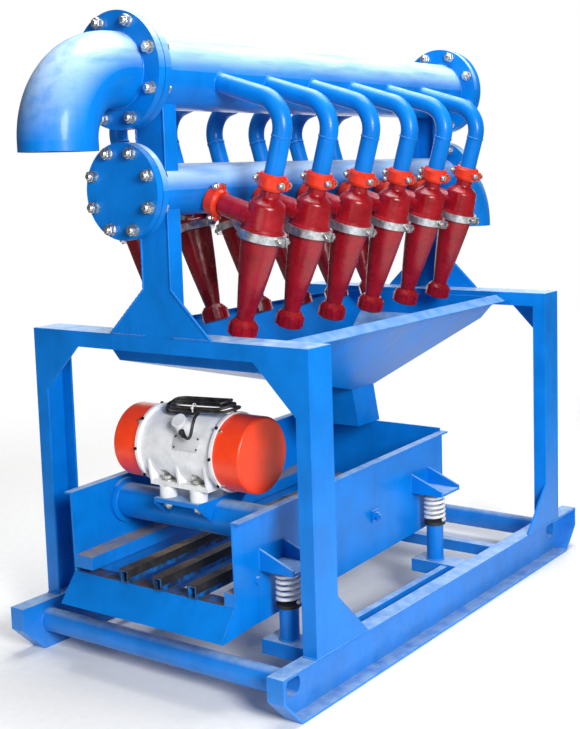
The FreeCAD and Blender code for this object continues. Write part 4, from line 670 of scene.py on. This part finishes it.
class CableOperator(bpy.types.Operator):
    """Runs the motor cable from its gland into the bundle on top of the motor"""
    bl_idname = "desilter.cable"
    bl_label = "Motor cable"

    turn_points = 14
    hank_x = 0.042
    hank_y = -0.681 + MIDDLE_Y
    start_degrees = -100.7
    # The lowest turn's fold radius and half its straight run, and what each turn above loses
    fold, fold_loss = 0.0422, 0.0020
    run, run_loss = 0.096, 0.007
    # How far hand-laid turns stray
    stray_x, stray_y = 0.006, 0.003
    # The cable's height on the barrel, its climb over the rim, and the height of a turn
    seat, rim_climb, layer = 0.1255, 0.0075, 0.0103
    rim_start, rim_reach = 0.07, 0.07
    # The tie: its middle, y from the bundle's, its loop's half sizes, width and thickness, its lock
    tie_x, tie_y, tie_z = 0.041, -0.0395, 0.826
    tie_loop, tie_width, tie_thickness = (0.0085, 0.0205, 1), 0.0048, 0.0014
    lock_size, lock_spot = (0.0076, 0.0058, 0.0066), (0.0024, -0.0105, 0.008)

    def execute(self, context):
        route = [Vector((x, y + MIDDLE_Y, z)) for x, y, z in CABLE_ROUTE]
        points = route + list(self.bundle())
        curve = bpy.data.curves.new("motor_cable", "CURVE")
        curve.dimensions = "3D"
        curve.bevel_depth = sizes().cable_width / 2
        curve.bevel_resolution = 3
        curve.resolution_u = 6
        curve.use_fill_caps = True
        line = curve.splines.new("NURBS")
        line.points.add(len(points) - 1)
        for knot, point in zip(line.points, points):
            knot.co = (*point, 1)
        line.order_u = 3
        line.use_endpoint_u = True
        curve.materials.append(material_for("black_cable"))
        cable = bpy.data.objects.new("motor_cable", curve)
        context.scene.collection.objects.link(cable)
        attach(cable, "deck")
        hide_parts("cable", "cable_hank")
        way = (route[1] - route[0]).to_track_quat("Z", "Y").to_matrix().to_4x4()
        sleeve = self.sleeve(Matrix.Translation(route[0]) @ way)
        tie = self.tie()
        self.length(points)
        return {"FINISHED"}

    def bundle(self):
        """Flattened rings of cable that rest on the barrel and its rim, each on the one below."""
        for step in range(sizes().hank_turns * self.turn_points - 1):
            angle = math.radians(self.start_degrees) - step * 2 * math.pi / self.turn_points
            lap = (step + 1) / self.turn_points
            fold = self.fold - self.fold_loss * lap
            run = self.run - self.run_loss * lap + self.stray_x * math.sin(1.7 * lap)
            side = 1 if math.cos(angle) > 0 else -1
            x = self.hank_x + side * run + fold * math.cos(angle)
            y = self.hank_y + fold * math.sin(angle) + self.stray_y * math.sin(2.6 * lap)
            climb = min(1, max(0, (x - self.rim_start) / self.rim_reach))
            radius = self.seat + self.rim_climb * climb
            z = MOTOR_Z + math.sqrt(radius ** 2 - (y - MOTOR_Y) ** 2) + self.layer * lap
            yield Vector((x, y, z))

    def length(self, points):
        """Length of a smooth line through the middles of the spans between points."""
        middles = [(before + after) / 2 for before, after in zip(points, points[1:])]
        total = (middles[0] - points[0]).length + (points[-1] - middles[-1]).length
        for before, corner, after in zip(middles, points[1:], middles[1:]):
            corner_runs = (corner - before).length + (after - corner).length
            total += (corner_runs + 2 * (after - before).length) / 3
        return total

    def sleeve(self, place):
        """Ribbed rubber sleeve that keeps the cable from kinking at its gland."""
        outline = [(0.0052, 0.024), (0.0066, 0.024)]
        for rib in range(5):
            height = 0.022 - 0.0045 * rib
            radius = 0.0068 + 0.0006 * rib
            outline += [(radius + 0.0009, height), (radius + 0.0009, height - 0.0018),
                        (radius, height - 0.0024)]
        outline += [(0.0104, -0.001), (0.0052, -0.001), (0.0052, 0.024)]
        body = bmesh.new()
        sleeve = lathe(outline)
        put(body, sleeve, place)
        sleeve.free()
        return show("cable_sleeve", body, "deck", "black_rubber")

    def tie(self):
        """Nylon tie round the front strands, with its lock."""
        strap = bmesh.new()
        middle = Vector((self.tie_x, self.hank_y + self.tie_y, self.tie_z))
        loop = bmesh.new()
        bmesh.ops.create_circle(loop, segments=24, radius=1.0)
        ring = list(loop.edges)
        bmesh.ops.scale(loop, vec=self.tie_loop, verts=loop.verts)
        wide = bmesh.ops.extrude_edge_only(loop, edges=ring)["geom"]
        bmesh.ops.translate(loop, vec=(0, 0, self.tie_width),
                            verts=[v for v in wide if isinstance(v, bmesh.types.BMVert)])
        bmesh.ops.recalc_face_normals(loop, faces=loop.faces)
        bmesh.ops.solidify(loop, geom=loop.faces[:], thickness=-self.tie_thickness)
        upright = turn("Z", 90) @ turn("X", 90)
        put(strap, loop, Matrix.Translation(middle) @ upright)
        loop.free()
        lock = bmesh.new()
        bmesh.ops.create_cube(lock, size=1.0)
        bmesh.ops.scale(lock, vec=self.lock_size, verts=lock.verts)
        bmesh.ops.bevel(lock, geom=lock.edges[:], offset=0.0009, affect="EDGES", segments=2,
                        profile=0.5, material=-1)
        put(strap, lock, Matrix.Translation(middle + Vector(self.lock_spot)))
        lock.free()
        bmesh.ops.recalc_face_normals(strap, faces=strap.faces)
        tie = show("strap_tie", strap, "deck", "white_plastic")
        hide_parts("cable_tie")
        return tie


class FinishOperator(bpy.types.Operator):
    """Gives every part of the frame its finish and rounds the cut edges of the plates"""
    bl_idname = "desilter.finishes"
    bl_label = "Finishes"

    rounded = ("front_portal", "rear_portal", "hopper", "hopper_chute", "skid_runner_left",
               "skid_runner_right", "rear_cross_channel", "deck_side_plate_left",
               "deck_side_plate_right", "deck_rear_wall", "discharge_lip", "deck_side_rails")

    def execute(self, context):
        for row in frame["record"]["subparts"]:
            name = row["node"]
            thing = NODES[name]
            thing.data.materials.clear()
            thing.data.materials.append(material_for(WORN.get(name, row["material_slot"])))
        for name in self.rounded:
            weld = NODES[name].modifiers.new("weld", "WELD")
            weld.merge_threshold = 0.00005
            soft = NODES[name].modifiers.new("edges", "BEVEL")
            soft.width = sizes().edge_round
            soft.segments = 2
            soft.limit_method = "ANGLE"
            soft.angle_limit = math.radians(30)
            soft.harden_normals = True
        return {"FINISHED"}


class SpringOperator(bpy.types.Operator):
    """Winds the four coil springs"""
    bl_idname = "desilter.springs"
    bl_label = "Coil springs"

    turns = 5
    turn_steps = 32

    def execute(self, context):
        for node in ("front_springs", "rear_springs"):
            low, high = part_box(node)
            middle_y = (low[1] + high[1]) / 2
            coils = bmesh.new()
            for side in (-1, 1):
                self.wind(coils, (side * SPRING_X, middle_y, low[2]), high[2] - low[2])
            piece = show(node.replace("springs", "coils"), coils, None,
                         "white_spring")
            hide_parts(node)
            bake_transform(piece)
        return {"FINISHED"}

    def wind(self, target, foot, height):
        """Adds one helix of round wire, its cut ends filled."""
        wire = bmesh.new()
        section = Matrix.Translation((SPRING_MEAN_R, 0, SPRING_WIRE_R)) @ turn("X", 90)
        bmesh.ops.create_circle(wire, segments=14, radius=SPRING_WIRE_R, matrix=section)
        steps = self.turns * self.turn_steps
        rise = (height - 2 * SPRING_WIRE_R) / steps
        bmesh.ops.spin(wire, geom=wire.verts[:] + wire.edges[:], axis=(0, 0, 1), cent=(0, 0, 0),
                       steps=steps, angle=2 * math.pi * self.turns, dvec=(0, 0, rise))
        bmesh.ops.holes_fill(wire, edges=[edge for edge in wire.edges if edge.is_boundary])
        bmesh.ops.recalc_face_normals(wire, faces=wire.faces)
        put(target, wire, Matrix.Translation(foot))
        wire.free()


class FlangeBoltOperator(bpy.types.Operator):
    """Makes the bolts, washers and nuts of the four flange joints"""
    bl_idname = "desilter.flange_bolts"
    bl_label = "Flange bolts"

    def execute(self, context):
        bolts = bmesh.new()
        for header in (FEED, OVERFLOW):
            grip = 2 * header["flange"] + GASKET
            bolt = hex_bolt(sizes().flange_bolt, grip)
            for start in (HEADER_FRONT, HEADER_REAR - grip):
                for place in joint_bolts(BOLT_COUNT, header["circle"], header["z"], start, grip):
                    put(bolts, bolt, place)
            bolt.free()
        piece = show("flange_joint_bolts", bolts, "frame", "zinc_steel")
        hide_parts("flange_bolts")
        return {"FINISHED"}


class CouplingBoltOperator(bpy.types.Operator):
    """Makes the bolts of the pipe couplings and of the band clamps"""
    bl_idname = "desilter.coupling_bolts"
    bl_label = "Coupling and clamp bolts"

    def execute(self, context):
        coupling = hex_bolt(sizes().coupling_bolt, COUPLING_GRIP)
        clamp = hex_bolt(sizes().clamp_bolt, CLAMP_GRIP)
        bolts = bmesh.new()
        bands = bmesh.new()
        across = turn("X", 90)
        inlet = Matrix.Translation(INLET) @ turn("Y", -90)
        for place in cyclone_places():
            for side in (-1, 1):
                mirror = Vector((side, 1, 1))
                pair = Matrix.Translation(mirror * Vector(COUPLING_BOLT)) @ across
                put(bolts, coupling, place @ pair)
                put(bolts, coupling, place @ inlet @ pair)
                put(bands, clamp, place @ Matrix.Translation(mirror * Vector(CLAMP_BOLT)) @ across)
        coupling.free()
        clamp.free()
        show("coupling_bolts", bolts, "frame", "zinc_steel")
        show("clamp_bolts", bands, "frame", "zinc_steel")
        return {"FINISHED"}


class WeldOperator(bpy.types.Operator):
    """Lays the weld beads on the pipes, flanges, posts and gussets"""
    bl_idname = "desilter.welds"
    bl_label = "Weld beads"

    def execute(self, context):
        self.show_beads("frame_welds", "frame", self.frame_seams())
        self.show_beads("deck_welds", "deck", self.deck_seams())
        return {"FINISHED"}

    def show_beads(self, name, body, seams):
        curve = bpy.data.curves.new(name, "CURVE")
        curve.dimensions = "3D"
        curve.bevel_depth = sizes().weld_leg
        curve.bevel_resolution = 1
        for points, closed in seams:
            bead = curve.splines.new("POLY")
            bead.points.add(len(points) - 1)
            bead.use_cyclic_u = closed
            for index, point in enumerate(points):
                bead.points[index].co = (*point, 1)
                bead.points[index].radius = 1.0 if index % 2 else 0.72
        curve.materials.append(material_for("blue_paint"))
        beads = bpy.data.objects.new(name, curve)
        bpy.context.scene.collection.objects.link(beads)
        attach(beads, body)

    def ring(self, place, radius):
        """Seam round a pipe: place has the pipe's axis along Z."""
        count = 2 * round(math.pi * radius / sizes().weld_ripple)
        angles = [2 * math.pi * index / count for index in range(count)]
        return [place @ Vector((radius * math.cos(angle), radius * math.sin(angle), 0))
                for angle in angles], True

    def saddle(self, place, radius, header):
        """Seam where a pipe of that radius along place's Z meets a header pipe along Y."""
        points = []
        count = 2 * round(math.pi * radius / sizes().weld_ripple)
        way = place.to_3x3() @ Vector((0, 0, 1))
        for index in range(count):
            angle = 2 * math.pi * index / count
            spot = place @ Vector((radius * math.cos(angle), radius * math.sin(angle), 0))
            x, z = spot.x, spot.z - header["z"]
            slope = way.x ** 2 + way.z ** 2
            half = x * way.x + z * way.z
            inside = half ** 2 - slope * (x * x + z * z - header["pipe"] ** 2)
            points.append(spot + way * ((-half - math.sqrt(inside)) / slope))
        return points, True

    def seam(self, *corners):
        """Straight seams from corner to corner."""
        points = []
        for before, after in zip(corners, corners[1:]):
            before, after = Vector(before), Vector(after)
            count = max(2, round((after - before).length / sizes().weld_ripple))
            points += [before.lerp(after, index / count) for index in range(count)]
        return points + [Vector(corners[-1])], False

    def frame_seams(self):
        for place in cyclone_places():
            inward = Matrix.Translation(INLET) @ turn("Y", -90)
            yield self.saddle(place @ inward, NOZZLE_R, FEED)
            over = Matrix.Translation((0, 0, BRANCH_RISE)) @ turn("Y", -90)
            yield self.saddle(place @ over, NOZZLE_R, OVERFLOW)
            yield self.ring(place @ Matrix.Translation((0, 0, BEND_SEAM)), NOZZLE_R - 0.001)
        along = turn("X", 90)
        for header in (FEED, OVERFLOW):
            inner = header["flange"] * 2 + GASKET
            for y in (HEADER_FRONT + inner, HEADER_REAR - inner):
                yield self.ring(Matrix.Translation((0, y, header["z"])) @ along, header["pipe"])
        for header, y in ((OVERFLOW, HEADER_FRONT), (FEED, HEADER_REAR)):
            yield self.ring(Matrix.Translation((0, y, header["z"])) @ along, header["pipe"])
        for side in (-1, 1):
            for y in CROSS_PIPE_Y:
                web = Matrix.Translation((side * RUNNER_WEB_X, y + MIDDLE_Y, CROSS_PIPE_Z))
                yield self.ring(web @ turn("Y", 90), CROSS_PIPE_R)
            for y, _ in SPRING_SEATS:
                foot = Matrix.Translation((side * SPRING_X, y + MIDDLE_Y, RUNNER_TOP))
                yield self.ring(foot, PEDESTAL_R)
            for out in (-1, 1):
                yield from self.post_seams(side, out * PORTAL_FACE + MIDDLE_Y, out)

    def post_seams(self, side, face, out):
        """Seams round a post's foot and its foot gusset, and down the header column's edge."""
        inner = face - out * POST_DEPTH
        outside = side * POST_OUTER_X
        yield self.seam((side * POST_INNER_X, face, RUNNER_TOP), (outside, face, RUNNER_TOP),
                        (outside, inner, RUNNER_TOP))
        yield self.seam((outside, inner, RUNNER_TOP),
                        (outside, inner - out * FOOT_GUSSET, RUNNER_TOP))
        column = side * COLUMN_HALF
        yield self.seam((column, face, COLUMN_TOP), (column, face, COLUMN_GUSSET_TOP),
                        (side * COLUMN_GUSSET_X, face, PORTAL_TOP), (column, face, PORTAL_TOP))

    def deck_seams(self):
        for side in (-1, 1):
            wall = side * DECK_WALL_X
            for y, z in SPRING_SEATS:
                low, high = y - BRACKET_HALF + MIDDLE_Y, y + BRACKET_HALF + MIDDLE_Y
                top = z + BRACKET_RISE
                yield self.seam((wall, low, top), (wall, low, z),
                                (wall, high, z), (wall, high, top))
            tube = Matrix.Translation((side * TUBE_END_X, MOTOR_Y, TUBE_Z)) @ turn("Y", 90)
            yield self.ring(tube, TUBE_R)
        for x in MOTOR_GUSSET_X:
            yield self.seam((x, MOTOR_Y - MOTOR_GUSSET_TIP, MOTOR_GUSSET_TOP),
                            (x, MOTOR_Y - MOTOR_GUSSET_HEEL, TUBE_Z))


class MotorTrimOperator(bpy.types.Operator):
    """Makes the motor's foot bolts, blank plate, rim screws and cap screws"""
    bl_idname = "desilter.motor_trim"
    bl_label = "Motor trim"

    plate_left, plate_right = 0.001, 0.105
    plate_in_r, plate_out_r = 0.1184, 0.1196
    plate_low, plate_degrees = 7, 23
    rim_r = 0.126
    collar_r = 0.120

    def execute(self, context):
        feet = bmesh.new()
        bolt = hex_bolt(sizes().flange_bolt, FOOT_GRIP)
        for x in (MOTOR_X - FOOT_BOLT_X, MOTOR_X + FOOT_BOLT_X):
            for y in (MOTOR_Y - FOOT_BOLT_Y, MOTOR_Y + FOOT_BOLT_Y):
                upside_down = Matrix.Translation((x, y, FOOT_TOP)) @ turn("X", 180)
                put(feet, bolt, upside_down @ turn("Z", 200 * x))
        bolt.free()
        piece = show("motor_foot_bolts", feet, "deck", "zinc_steel")
        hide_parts("motor_bolts")
        self.blank_plate()
        self.screws()
        return {"FINISHED"}

    def round_barrel(self, x, radius, degrees):
        """Place on the barrel at an angle above its front, Z pointing straight out."""
        return (Matrix.Translation((x, MOTOR_Y, MOTOR_Z)) @ turn("X", 90 - degrees)
                @ Matrix.Translation((0, 0, radius)))

    def blank_plate(self):
        """Thin plate bent to the barrel, held by a screw in each corner."""
        plate = bmesh.new()
        corners = [plate.verts.new((x, 0, radius)) for x, radius in
                   ((self.plate_left, self.plate_in_r), (self.plate_right, self.plate_in_r),
                    (self.plate_right, self.plate_out_r), (self.plate_left, self.plate_out_r))]
        side = plate.faces.new(corners)
        bmesh.ops.spin(plate, geom=[side, *side.edges, *corners], axis=(1, 0, 0), cent=(0, 0, 0),
                       steps=8, angle=math.radians(-self.plate_degrees))
        bmesh.ops.recalc_face_normals(plate, faces=plate.faces)
        rims = [edge for edge in plate.edges if edge.calc_face_angle(0) > 1.0]
        bmesh.ops.bevel(plate, geom=rims, offset=0.0004, affect="EDGES", segments=2,
                        profile=0.5, material=-1)
        wrapped = bmesh.new()
        front = Matrix.Translation((0, MOTOR_Y, MOTOR_Z)) @ turn("X", 90 - self.plate_low)
        put(wrapped, plate, front)
        plate.free()
        show("blank_plate", wrapped, "deck", "blank_plate")

    def screws(self):
        """Dark screws on the plate and both rims, and plated ones in the caps' collars."""
        domed = lathe([(0, 0.0022), (0.0012, 0.0022), (0.0015, 0.0016), (0.0026, 0.0014),
                       (0.0034, 0.0004), (0.0034, -0.0020), (0, -0.0020)], 14)
        socket = lathe([(0, 0.0012), (0.0026, 0.0012), (0.0026, 0.0052), (0.0044, 0.0052),
                        (0.0050, 0.0045), (0.0050, -0.0020), (0, -0.0020)], 16)
        small = bmesh.new()
        for x in (0.008, 0.098):
            for degrees in (11, 27):
                put(small, domed, self.round_barrel(x, self.plate_out_r, degrees))
        for rim_x in (MOTOR_X - BARREL_HALF + 0.005, MOTOR_X + BARREL_HALF - 0.005):
            for index in range(8):
                put(small, socket, self.round_barrel(rim_x, self.rim_r, 1 + 45 * index))
        show("barrel_screws", small, "deck", "dark_steel")
        collar = hexagon_bar(0.0065, -0.002, 0.005, 0.0006)
        caps = bmesh.new()
        for cap_x in (MOTOR_X - BARREL_HALF - 0.010, MOTOR_X + BARREL_HALF + 0.010):
            for index in range(4):
                put(caps, collar, self.round_barrel(cap_x, self.collar_r, 43 + 90 * index))
        for shape in (domed, socket, collar):
            shape.free()
        show("cap_screws", caps, "deck", "zinc_steel")


class DesilterPanel(bpy.types.Panel):
    """Lists the desilter's settings and pieces"""
    bl_idname = "DESILTER_PT_pieces"
    bl_label = "Desilter"
    bl_space_type = "VIEW_3D"
    bl_region_type = "UI"
    bl_category = "Desilter"

    def draw(self, context):
        for group in (context.scene.desilter_finishes, context.scene.desilter_sizes):
            for name in group.__annotations__:
                self.layout.prop(group, name)
        for operator in OPERATORS:
            self.layout.operator(operator.bl_idname)


OPERATORS = (StageOperator, CableOperator, FinishOperator, SpringOperator, FlangeBoltOperator,
             CouplingBoltOperator, WeldOperator, MotorTrimOperator)
CLASSES = (FinishSettings, SizeSettings, *OPERATORS, DesilterPanel)


def register():
    for item in CLASSES:
        bpy.utils.register_class(item)
    bpy.types.Scene.desilter_finishes = PointerProperty(type=FinishSettings)
    bpy.types.Scene.desilter_sizes = PointerProperty(type=SizeSettings)


def unregister():
    del bpy.types.Scene.desilter_sizes
    del bpy.types.Scene.desilter_finishes
    for item in reversed(CLASSES):
        bpy.utils.unregister_class(item)


def main():
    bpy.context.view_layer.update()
    register()
    bpy.ops.desilter.stage()
    bpy.ops.desilter.cable()
    bpy.ops.desilter.finishes()
    bpy.ops.desilter.springs()
    bpy.ops.desilter.flange_bolts()
    bpy.ops.desilter.coupling_bolts()
    bpy.ops.desilter.welds()
    bpy.ops.desilter.motor_trim()


if __name__ == "__main__":
    main()
